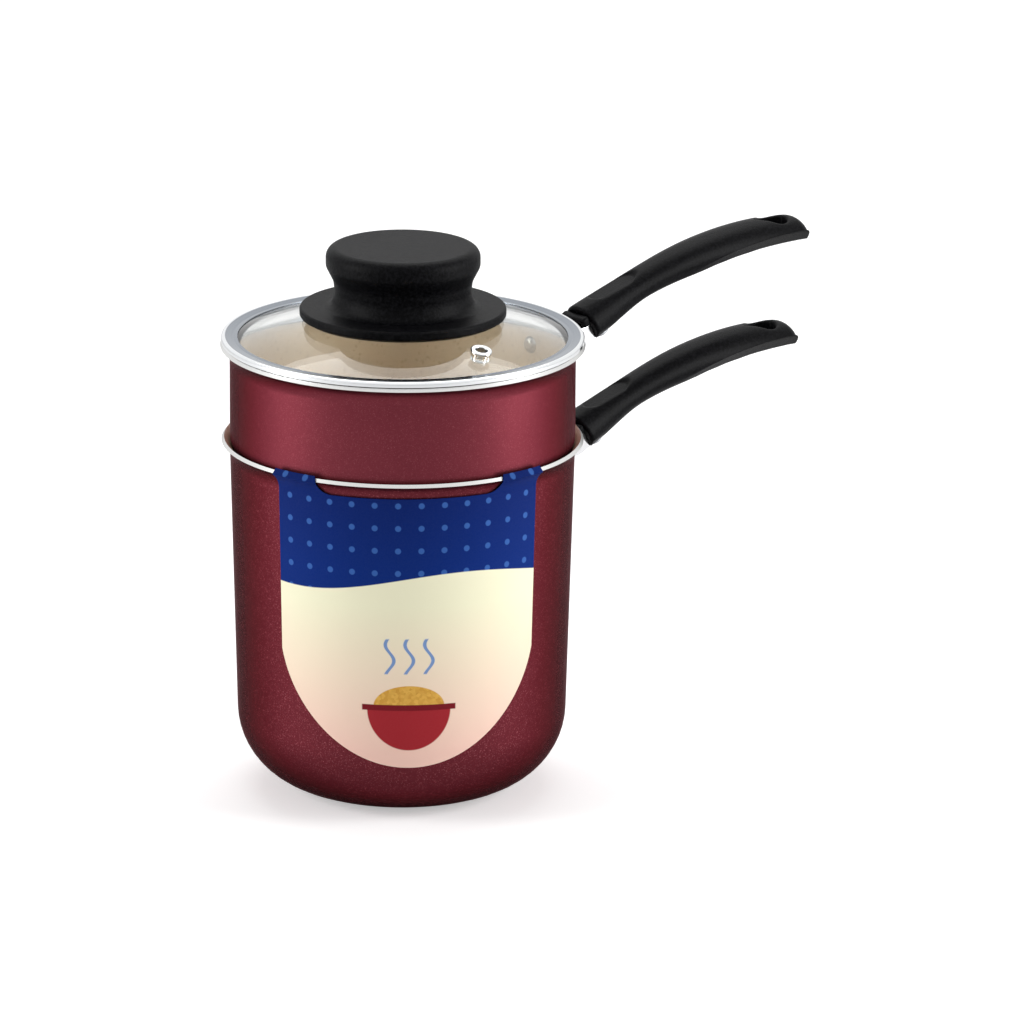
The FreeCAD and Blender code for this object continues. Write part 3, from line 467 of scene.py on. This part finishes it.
# Each handle is moulded in one piece from black phenolic resin: an arched grip with a flat
# underside between bevels, a thumb flat, a hole to hang it by and a hood over the bracket. The
# mould is spark eroded, which leaves a satin skin with a very fine grain.
RESIN = (2, 2, 3)
# Lighter colour painted on the grain's peaks: a painted sheen, not the resin's own colour
RESIN_GRAIN_SHEEN = (28, 28, 31)
HANDLE_GRAIN = 0.8
HANDLE_GRAIN_DEPTH = 0.12
HANDLE_ROUGH = 0.30
LOWER_REACH = 71.7208
LOWER_BRACKET_DROP = 13.95
STEAMER_REACH = POT_RADIUS + 19.9
STEAMER_BRACKET_DROP = 8.45
HANDLE_CURVE = 165.0
HANDLE_SLOPE = math.radians(27)
HANDLE_RISE = 1.0
HANDLE_LONG = 92.6
STATIONS = (0, 12, 25, 50, 76, HANDLE_LONG)
WIDE = (14.0, 12.4, 11.8, 14.4, 16.8, 17.0)
THICK = (13.8, 10.8, 9.2, 11.2, 14.6, 13.6)
SINK = (0, 0, 0, 1.0, 3.0, 3.4)
FACE_ROUND = 1.0
TIP_ROUND = 4.6
GRIP_RUN = HANDLE_LONG + (FACE_ROUND + TIP_ROUND) * (math.pi / 2 - 1)
GRIP_SIDES = 128
GRIP_RINGS = 270
UNDER_ALONG = 81.39
UNDER_DEPTH = 175.7
UNDER_CURVE = 190.9
UNDER_FLAT = 9.6
UNDER_BEVEL = math.radians(48)
UNDER_SOFT = 0.5
THUMB_ALONG = 12.05
THUMB_HEIGHT = 11.1
THUMB_TILT = math.radians(16)
THUMB_LONG = 17.0
THUMB_WIDE = 8.6
THUMB_STEP_SLOPE = 1.3
THUMB_SOFT = 0.35
HANG_ALONG = 79.1
HANG_POINT = 7.8
HANG_RADIUS = 4.5
HANG_ROUND = 1.0
HANG_LEAN = math.asin(HANG_RADIUS / HANG_POINT)
HANG_CUT_LOW = -10
HANG_CUT_TALL = 60
HOOD_ALONG = -1.51
HOOD_LEVEL = 3.5
HOOD_SIZE = (2.96, 10.8, 3.2, 1)
HOOD_ROUND = 0.9
SOCKET_ALONG = 1.5
SOCKET_SIZE = (14.5, 9.1, 7.9, 1)
SCREW_REACH = 5.0
SCREW_BORE = 1.5
SCREW_HEAD_BORE = 2.9
SCREW_SEAT = -5.1
SCREW_CUT_TOP = -3
SCREW_CUT_LOW = -14


def resin_finish(name, grain, depth, rough):
    """Black phenolic with the fine grain that a spark-eroded mould leaves. The grain's peaks are
    painted lighter, a painted sheen.
    """
    finish = Finish(name)
    fine = finish.noise(grain, 4.0, rough=0.7)
    # Painted sheen: the grain's raised peaks are coloured lighter than the black resin
    sheen_on_grain_peaks = fine.over(0.55, 0.25) * (0.35 + 0.4 * finish.noise(16))
    finish.shade(
        Base_Color=finish.mixed(paint(*RESIN), paint(*RESIN_GRAIN_SHEEN), sheen_on_grain_peaks),
        Roughness=rough + 0.2 * fine,
        Normal=finish.bumped(fine, depth, 0.7),
        Specular_IOR_Level=0.05,
    )
    return finish.material


def between(sizes, along):
    """A size at a distance along the handle, on a smooth curve through the stations."""
    spans = list(zip(STATIONS, sizes))
    place = max(index for index, station in enumerate(STATIONS[:-1]) if along >= station)

    def slope(index):
        low, high = spans[max(index - 1, 0)], spans[min(index + 1, len(spans) - 1)]
        return (high[1] - low[1]) / (high[0] - low[0])

    (start, first), (end, last) = spans[place], spans[place + 1]
    step = end - start
    share = (along - start) / step
    return (
        first * (2 * share ** 3 - 3 * share ** 2 + 1) + last * (3 * share ** 2 - 2 * share ** 3)
        + slope(place) * step * (share ** 3 - 2 * share ** 2 + share)
        + slope(place + 1) * step * (share ** 3 - share ** 2)
    )


def soft_most(first, last, soft):
    """The greater of two levels, with a rounded change from one to the other."""
    near = max(soft - abs(first - last), 0) / soft
    return max(first, last) + near * near * soft / 4


def quarter_round(depth, radius):
    """How far a rounded edge has fallen at a distance inside it."""
    short = min(max(radius - depth, 0), radius)
    return radius - math.sqrt(radius * radius - short * short)


def outside_teardrop(x, y):
    """Distance outside the hanging hole, from the middle of its round end."""
    run = (x + HANG_POINT) * math.cos(HANG_LEAN) + abs(y) * math.sin(HANG_LEAN)
    if run < 0:
        return math.hypot(x + HANG_POINT, y)
    if run > HANG_POINT * math.cos(HANG_LEAN):
        return math.hypot(x, y) - HANG_RADIUS
    return abs(y) * math.cos(HANG_LEAN) - (x + HANG_POINT) * math.sin(HANG_LEAN)


def ring_place(run):
    """Distance along the grip of a ring, with rings close together round both ends."""
    face_arc = FACE_ROUND * math.pi / 2
    tip_arc = TIP_ROUND * math.pi / 2
    if run < face_arc:
        return FACE_ROUND * (1 - math.cos(run / FACE_ROUND))
    if run > GRIP_RUN - tip_arc:
        return HANDLE_LONG - TIP_ROUND * (1 - math.cos((GRIP_RUN - run) / TIP_ROUND))
    return run - face_arc + FACE_ROUND


def shaped_grip(u, v, along):
    """Place on the grip, out from its end face, for a spot on a unit tube."""
    inset = quarter_round(along, FACE_ROUND) + quarter_round(HANDLE_LONG - along, TIP_ROUND)
    side = u * (between(WIDE, along) / 2 - inset)
    rise = v * (between(THICK, along) / 2 - inset) - between(SINK, along)
    bend = HANDLE_SLOPE - along / HANDLE_CURVE
    reach = HANDLE_CURVE + rise
    x = HANDLE_CURVE * math.sin(HANDLE_SLOPE) - reach * math.sin(bend)
    z = HANDLE_RISE - HANDLE_CURVE * math.cos(HANDLE_SLOPE) + reach * math.cos(bend)

    # Flat underside between two bevels
    centre = Vector((UNDER_ALONG, -UNDER_DEPTH))
    arm = Vector((x, z)) - centre
    bevel = max(abs(side) - UNDER_FLAT / 2, 0) * math.tan(UNDER_BEVEL)
    arm = arm.normalized() * soft_most(arm.length, UNDER_CURVE + bevel, UNDER_SOFT)
    x, z = centre + arm
    if v <= 0:
        return Vector((x, side, z))

    # Thumb flat, with a sloping step round it
    out = x - THUMB_ALONG
    off = math.hypot(out / math.cos(THUMB_TILT) * 2 / THUMB_LONG, side * 2 / THUMB_WIDE)
    step = max(off - 1, 0) * THUMB_WIDE / 2 * THUMB_STEP_SLOPE
    z = -soft_most(-z, -(THUMB_HEIGHT + out * math.tan(THUMB_TILT) + step), THUMB_SOFT)

    # Rounded rim of the hanging hole
    fall = quarter_round(outside_teardrop(x - HANG_ALONG, side), HANG_ROUND)
    return Vector((x, side, z - fall))


def along_grip(along, level=0.0):
    """Turns a shape that lies on the grip's end axis into its place."""
    lean = Matrix.Rotation(-HANDLE_SLOPE, 4, "Y")
    spot = Vector((0, 0, HANDLE_RISE)) + lean @ Vector((along, 0, level))
    return Matrix.Translation(spot) @ lean


def grip_and_hood():
    """The grip, a tube drawn into shape, and the rounded hood at its root."""
    mesh = bmesh.new()
    bmesh.ops.create_cone(
        mesh, cap_ends=True, segments=GRIP_SIDES, radius1=1, radius2=1, depth=GRIP_RUN,
        matrix=Matrix.Translation((0, 0, GRIP_RUN / 2)),
    )
    long_edges = [edge for edge in mesh.edges if edge.calc_length() > 1]
    bmesh.ops.subdivide_edges(mesh, edges=long_edges, cuts=GRIP_RINGS)
    for vert in mesh.verts:
        run = min(max(vert.co.z, 0), GRIP_RUN)
        vert.co = shaped_grip(vert.co.x, vert.co.y, ring_place(run))
    hood = bmesh.ops.create_cube(
        mesh, size=1, matrix=along_grip(HOOD_ALONG, HOOD_LEVEL) @ Matrix.Diagonal(HOOD_SIZE)
    )["verts"]
    hood_edges = {edge for vert in hood for edge in vert.link_edges}
    bmesh.ops.bevel(
        mesh, geom=list(hood_edges), offset=HOOD_ROUND, affect="EDGES", segments=4, profile=0.5,
        material=-1,
    )
    return mesh


def hang_and_socket_punches():
    """A teardrop shaft for the hanging hole, and a block for the bracket's tongue."""
    cuts = bmesh.new()
    bmesh.ops.create_circle(cuts, cap_ends=True, segments=64, radius=HANG_RADIUS)
    for vert in cuts.verts:
        if math.atan2(abs(vert.co.y), -vert.co.x) < math.pi / 2 - HANG_LEAN:
            share = abs(vert.co.y) / (HANG_RADIUS * math.cos(HANG_LEAN))
            vert.co.x = -HANG_POINT + share * (HANG_POINT - HANG_RADIUS * math.sin(HANG_LEAN))
    shaft = bmesh.ops.extrude_face_region(cuts, geom=cuts.faces[:])["geom"]
    top = [part for part in shaft if isinstance(part, bmesh.types.BMVert)]
    bmesh.ops.translate(cuts, vec=(0, 0, HANG_CUT_TALL), verts=top)
    bmesh.ops.translate(cuts, vec=(HANG_ALONG, 0, HANG_CUT_LOW), verts=cuts.verts)
    bmesh.ops.create_cube(
        cuts, size=1, matrix=along_grip(SOCKET_ALONG) @ Matrix.Diagonal(SOCKET_SIZE)
    )
    return cuts


def screw_punch():
    """A stepped shaft that lets the screw and its head into the underside."""
    bore = bmesh.new()
    spin_outline(bore, [
        (0, SCREW_CUT_LOW),
        (SCREW_HEAD_BORE, SCREW_CUT_LOW),
        (SCREW_HEAD_BORE, SCREW_SEAT),
        (SCREW_BORE, SCREW_SEAT),
        (SCREW_BORE, SCREW_CUT_TOP),
        (0, SCREW_CUT_TOP),
    ], 32)
    bmesh.ops.remove_doubles(bore, verts=bore.verts, dist=0.001)
    bmesh.ops.transform(bore, matrix=along_grip(SCREW_REACH), verts=bore.verts)
    return bore


handle_resin = resin_finish("handle_resin", HANDLE_GRAIN, HANDLE_GRAIN_DEPTH, HANDLE_ROUGH)
for owner, reach, height, turn in (
    ("lower", LOWER_REACH, POT_HEIGHT - LOWER_BRACKET_DROP, 0.0),
    ("steamer", STEAMER_REACH, STEAMER_Z + STEAMER_HEIGHT - STEAMER_BRACKET_DROP, STEAMER_TURN),
):
    stand = Matrix.Rotation(turn, 4, "Z") @ Matrix.Translation((reach, 0, height))
    grip, hang_and_socket, screw_shaft = grip_and_hood(), hang_and_socket_punches(), screw_punch()
    for shape in (grip, hang_and_socket, screw_shaft):
        bmesh.ops.transform(shape, matrix=stand, verts=shape.verts)
        bmesh.ops.scale(shape, vec=(mm, mm, mm), verts=shape.verts)
        bmesh.ops.recalc_face_normals(shape, faces=shape.faces)
    handle = finished(f"moulded_{owner}_handle", grip)
    wear(handle, handle_resin)
    pierce(handle, hang_and_socket)
    pierce(handle, screw_shaft)
    for face in handle.data.polygons:
        face.material_index = 0
    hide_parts(f"{owner}_handle")

# One steel screw goes up through each handle into its bracket, and another goes up through the
# glass into the knob. All three have a cross in the head and are plated with zinc.
ZINC_TONE = (190, 192, 196)
ZINC_ROUGH = 0.3

zinc = plated_finish("zinc_plate", ZINC_TONE, ZINC_ROUGH)
for name in ("lower_handle_screw", "steamer_handle_screw", "lid_knob_screw"):
    wear(nodes[name], zinc)

# The lid is a dome of tempered glass, 4 mm thick, bored for the knob and for the steam vent.
# Lamps shine through it without a caustic, so the light inside the pot is soft.
GLASS_TINT = (250, 252, 250)
GLASS_PALE = (253, 254, 253)
GLASS_SHADE = (246, 248, 246)
GLASS_IOR = 1.3

glass = Finish("tempered_glass")
glass.shade(
    Base_Color=glass.mixed(paint(*GLASS_TINT), paint(*GLASS_PALE), glass.noise(20, 1.0)),
    Roughness=0.01 + 0.02 * glass.noise(9),
    IOR=GLASS_IOR,
    Transmission_Weight=1.0,
)
shadow = glass.node("ShaderNodeLightPath", output="Is Shadow Ray")
clear = glass.node("ShaderNodeBsdfTransparent", {}, {"Color": paint(*GLASS_SHADE)})
veil = glass.node("ShaderNodeMixShader", {}, {
    0: shadow, 1: Flow(glass, glass.shader.outputs[0]), 2: clear,
})
glass.put(glass.output.inputs["Surface"], veil)
wear(nodes["lid_glass"], glass.material)

# A stainless strip is rolled round the glass's edge, with a dished flange above and a hem below.
# It rests on the steamer's lip. The vent's eyelet is the same steel.
BAND_RADIUS = 54.664
BAND_INNER = BAND_RADIUS - 4.95
BAND_WALL = 50.364
BAND_SHEET = 0.45
BAND_FLOOR = -3.43
BAND_HEM = 1.9
BAND_TOP = 1.72
BAND_ARC_STEPS = 6
# The flange's brushed tones are painted darker than the steel and the polished edge's tone
# brighter: painted reflections of the grey and the white that they catch
BRUSHED_PAINTED_DARK = (140, 147, 156)
BRUSHED_LINE_PAINTED_DARK = (122, 129, 138)
POLISHED_PAINTED_BRIGHT = (238, 240, 242)
POLISHED_AND_BRIGHT_FROM = BAND_RADIUS - 1.2
EYELET_TONE = (226, 228, 230)
EYELET_LINE = (205, 208, 210)
NOT_POLISHED_OR_BRIGHT = 60
LID_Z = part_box("lid_band")[0][2] / mm - BAND_FLOOR + BAND_SHEET


def rolled_finish(name, tone, line_tone, polished_and_bright_from):
    """Rolled stainless, brushed along the strip, and polished outside a radius, where its colour is
    also painted bright as a painted reflection.
    """
    finish = Finish(name)
    x, y, z = finish.parts(finish.place())
    reach = (x * x + y * y) ** 0.5
    lines = finish.noise(0.22, 2.0, finish.joined(reach, z, 0.0))
    brushed = finish.mixed(paint(*tone), paint(*line_tone), lines * 0.7)
    # Outside this radius the edge is polished, with less roughness, and its colour is painted
    # bright as a painted reflection
    polished_and_bright = reach.over(polished_and_bright_from * mm, 0.0002)
    finish.shade(
        Base_Color=finish.mixed(brushed, paint(*POLISHED_PAINTED_BRIGHT), polished_and_bright),
        Metallic=1.0,
        Roughness=0.10 + 0.16 * lines * (1 - polished_and_bright),
        Normal=finish.bumped(lines, 0.012, 0.35),
    )
    return finish.material


band_side = BAND_WALL + BAND_SHEET
band_foot = BAND_FLOOR - BAND_SHEET
band_outline = rounded([
    (BAND_INNER, 1.18),
    (BAND_INNER, 1.42, 0.1),
    (BAND_INNER + 1.2, 1.3, 1.0),
    (BAND_RADIUS - 1.0, BAND_TOP, 0.6),
    (BAND_RADIUS, BAND_TOP, 0.7),
    (BAND_RADIUS, 0, 0.3),
    (band_side, 0, 0.2),
    (band_side, band_foot, 0.35),
    (BAND_WALL - BAND_HEM, band_foot),
    (BAND_WALL - BAND_HEM, BAND_FLOOR),
    (BAND_WALL, BAND_FLOOR),
    (BAND_WALL, BAND_SHEET),
    (BAND_RADIUS - 1.4, BAND_SHEET),
], BAND_ARC_STEPS)
band = turned("spun_lid_band", [(raised(band_outline + band_outline[:1], LID_Z), 0)])
wear(band, rolled_finish("band_steel", BRUSHED_PAINTED_DARK, BRUSHED_LINE_PAINTED_DARK, POLISHED_AND_BRIGHT_FROM))
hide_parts("lid_band")
eyelet_steel = rolled_finish("eyelet_steel", EYELET_TONE, EYELET_LINE, NOT_POLISHED_OR_BRIGHT)
wear(nodes["vent_eyelet"], eyelet_steel)

# The knob is moulded from the handles' resin, with a wide flange that rests on the glass and a
# broad head. A moulded washer under the glass takes its screw.
KNOB_GRAIN = 0.9
KNOB_GRAIN_DEPTH = 0.22
KNOB_ROUGH = 0.34

knob_resin = resin_finish("knob_resin", KNOB_GRAIN, KNOB_GRAIN_DEPTH, KNOB_ROUGH)
wear(nodes["lid_knob"], knob_resin)
wear(nodes["lid_knob_washer"], knob_resin)

# A card is die-cut from coated board and hooks over the lower pot's lip. It is printed in two
# fields under a wavy border, with small dots above and a plain bowl motif below.
CARD_TURN = math.radians(-129)
CARD_RADIUS = 52.6
FIELD_LOW = 24
FIELD_TALL = 46
BORDER_HEIGHT = 77
BORDER_SWING = 3.2
BORDER_LONG = 17
BORDER_START = 0.6
BORDER_LINE_DROP = 1.6
SKY_LOW = 80
SKY_TALL = 30
DOT_STEP = 7
DOT_RADIUS = 0.13
BOWL_LEVEL = 38
BOWL_RADIUS = 13
RIM_LEVEL = 38.4
RIM_HALF_LONG = 14.6
MOUND_LEVEL = 38.6
MOUND_MIDDLE = 38.8
MOUND_WIDE = 11
MOUND_TALL = 6.5
WISPS = (-6, 0, 6)
WISP_SWING = 1.3
WISP_TURNS = 0.62
WISP_LOW = 49
WISP_HIGH = 60
BLUE = (3, 40, 116)
BLUE_DEEP = (2, 30, 98)
DOT_BLUE = (60, 104, 178)
WISP_BLUE = (120, 150, 200)
CREAM = (242, 239, 208)
PINK = (243, 203, 188)
BOWL_RED = (160, 40, 48)
RIM_RED = (120, 24, 34)
GOLD = (226, 178, 84)
GOLD_DEEP = (196, 138, 54)
PULP = (250, 248, 244)

card = Finish("printed_card")
x, y, z = card.parts(card.place())
across = (y.maths("ARCTAN2", y, x) - CARD_TURN) * CARD_RADIUS
high = z / mm

# Cream and pink field below a wavy border, blue field with dots above it
field = card.mixed(paint(*PINK), paint(*CREAM), ((high - FIELD_LOW) / FIELD_TALL).clamped())
sky = card.mixed(paint(*BLUE), paint(*BLUE_DEEP), ((high - SKY_LOW) / SKY_TALL).clamped())
spot = card.joined(
    (across / DOT_STEP).fraction() - 0.5, (high / DOT_STEP).fraction() - 0.5, 0.0
)
off_dot = card.node("ShaderNodeVectorMath", {"operation": "LENGTH"}, {0: spot}, "Value")
sky = card.mixed(sky, paint(*DOT_BLUE), off_dot.under(DOT_RADIUS, 0.04) * 0.8)
border = BORDER_HEIGHT + BORDER_SWING * (across / BORDER_LONG + BORDER_START).sine()
above = high - border
inked = card.mixed(field, sky, above.over(0, 0.25))
inked = card.mixed(inked, paint(*CREAM), abs(above + BORDER_LINE_DROP).under(0.5, 0.2))

# Bowl with a mound of grain
grain = card.cells(0.9)[0]
mound = (across / MOUND_WIDE) ** 2 + ((high - MOUND_MIDDLE) / MOUND_TALL) ** 2
mound = mound.under(1, 0.05) * high.over(MOUND_LEVEL, 0.3)
inked = card.mixed(inked, card.mixed(paint(*GOLD), paint(*GOLD_DEEP), grain * 0.7), mound)
below = high - BOWL_LEVEL
bowl = ((across * across + below * below) ** 0.5).under(BOWL_RADIUS, 0.3) * below.under(0, 0.3)
inked = card.mixed(inked, paint(*BOWL_RED), bowl)
rim = abs(high - RIM_LEVEL).under(0.9, 0.2) * abs(across).under(RIM_HALF_LONG, 0.3)
inked = card.mixed(inked, paint(*RIM_RED), rim)

# Wisps of steam
for start in WISPS:
    wisp = abs(across - start - WISP_SWING * (high * WISP_TURNS).sine()).under(0.55, 0.2)
    wisp = wisp * high.over(WISP_LOW, 0.4) * high.under(WISP_HIGH, 0.4)
    inked = card.mixed(inked, paint(*WISP_BLUE), wisp)

pulp = card.noise(0.5, 3.0)
card.shade(
    Base_Color=card.mixed(inked, paint(*PULP), pulp * 0.01),
    Roughness=0.38 + 0.16 * pulp,
    Normal=card.bumped(pulp, 0.01, 0.35),
    Specular_IOR_Level=0.03,
)
wear(nodes["label_card"], card.material)

# The studio has a plain pale floor that keeps the pots' shadow, a white surround, and soft lamps
# to both sides and above.
VIEW_TURN = math.radians(-41.45)
VIEW_TILT = 0.290
VIEW_DISTANCE = 2.2
VIEW_CENTRE_Z = 0.080
VIEW_PAN = 0.0151
VIEW_TIP = 0.0019
VIEW_ROLL = 0.0032
LENS = 255.3
SENSOR = 36
VIEW_END = 20
FLOOR_SIZE = 6
FLOOR_TONE = (0.84, 0.84, 0.84, 1)
FLOOR_ROUGH = 0.7
FLOOR_GLOW = 0.4
WHITE = (1, 1, 1, 1)
SURROUND_UNSEEN = 0.27

floor_mesh = bmesh.new()
bmesh.ops.create_grid(floor_mesh, x_segments=1, y_segments=1, size=FLOOR_SIZE)
floor_data = bpy.data.meshes.new("floor")
floor_mesh.to_mesh(floor_data)
floor_mesh.free()
floor = bpy.data.objects.new("floor", floor_data)
bpy.context.scene.collection.objects.link(floor)
ground = Finish("pale_floor")
ground.shade(Base_Color=FLOOR_TONE, Roughness=FLOOR_ROUGH)
plain = Flow(ground, ground.shader.outputs[0])
ray = ground.node("ShaderNodeLightPath", output="Is Camera Ray")
glow = ground.node("ShaderNodeEmission", {}, {"Color": WHITE, "Strength": FLOOR_GLOW})
lit = ground.node("ShaderNodeAddShader", {}, {0: plain, 1: glow})
seen = ground.node("ShaderNodeMixShader", {}, {0: ray, 1: plain, 2: lit})
ground.put(ground.output.inputs["Surface"], seen)
wear(floor, ground.material)

# The surround is white to the camera, in reflections and through glass, and dimmer as a light
world = bpy.data.worlds.new("studio")
bpy.context.scene.world = world
world.use_nodes = True
surround = world.node_tree
path = surround.nodes.new("ShaderNodeLightPath")
in_sight = path.outputs["Is Camera Ray"]
for kind in ("Is Transmission Ray", "Is Glossy Ray"):
    either = surround.nodes.new("ShaderNodeMath")
    either.operation = "ADD"
    either.use_clamp = True
    surround.links.new(in_sight, either.inputs[0])
    surround.links.new(path.outputs[kind], either.inputs[1])
    in_sight = either.outputs[0]
level = surround.nodes.new("ShaderNodeMapRange")
level.inputs["To Min"].default_value = SURROUND_UNSEEN
level.inputs["To Max"].default_value = 1.0
surround.links.new(in_sight, level.inputs["Value"])
back = surround.nodes["Background"]
back.inputs["Color"].default_value = WHITE
surround.links.new(level.outputs["Result"], back.inputs["Strength"])

right = Vector((math.cos(VIEW_TURN), math.sin(VIEW_TURN), 0))
away = Vector((-math.sin(VIEW_TURN), math.cos(VIEW_TURN), 0))
up = Vector((0, 0, 1))
middle = Vector((0, 0, VIEW_CENTRE_Z))


def lamp(name, place, wide, tall, power):
    """A soft lamp that faces the pots. Its place is right, away and up from their middle."""
    light = bpy.data.lights.new(name, "AREA")
    light.shape = "RECTANGLE"
    light.size = wide
    light.size_y = tall
    light.energy = power
    stand = bpy.data.objects.new(name, light)
    bpy.context.scene.collection.objects.link(stand)
    stand.location = middle + right * place[0] + away * place[1] + up * place[2]
    stand.rotation_euler = (middle - stand.location).to_track_quat("-Z", "Y").to_euler()


lamp("left_panel", place=(-1.2, -0.25, 0.35), wide=0.5, tall=1.0, power=13.2)
lamp("right_panel", place=(1.2, -0.25, 0.35), wide=0.5, tall=1.0, power=15.8)
lamp("top_panel", place=(0, 0.7, 1.2), wide=1.2, tall=0.9, power=9)


def turned_pair(first, second, angle):
    """Two directions at right angles, the first turned towards the second and both kept square."""
    cosine, sine = math.cos(angle), math.sin(angle)
    return first * cosine + second * sine, second * cosine - first * sine


sight, lift = turned_pair(away, up, -VIEW_TILT)
camera_spot = middle - sight * VIEW_DISTANCE
sight, side = turned_pair(sight, right, VIEW_PAN)
sight, lift = turned_pair(sight, lift, VIEW_TIP)
side, lift = turned_pair(side, lift, VIEW_ROLL)
camera_data = bpy.data.cameras.new("camera")
camera_data.lens = LENS
camera_data.sensor_width = SENSOR
camera_data.clip_end = VIEW_END
camera = bpy.data.objects.new("camera", camera_data)
bpy.context.scene.collection.objects.link(camera)
camera_turn = Matrix((side, lift, -sight)).transposed().to_4x4()
camera.matrix_world = Matrix.Translation(camera_spot) @ camera_turn
bpy.context.scene.camera = camera
bpy.context.scene.view_settings.view_transform = "Standard"
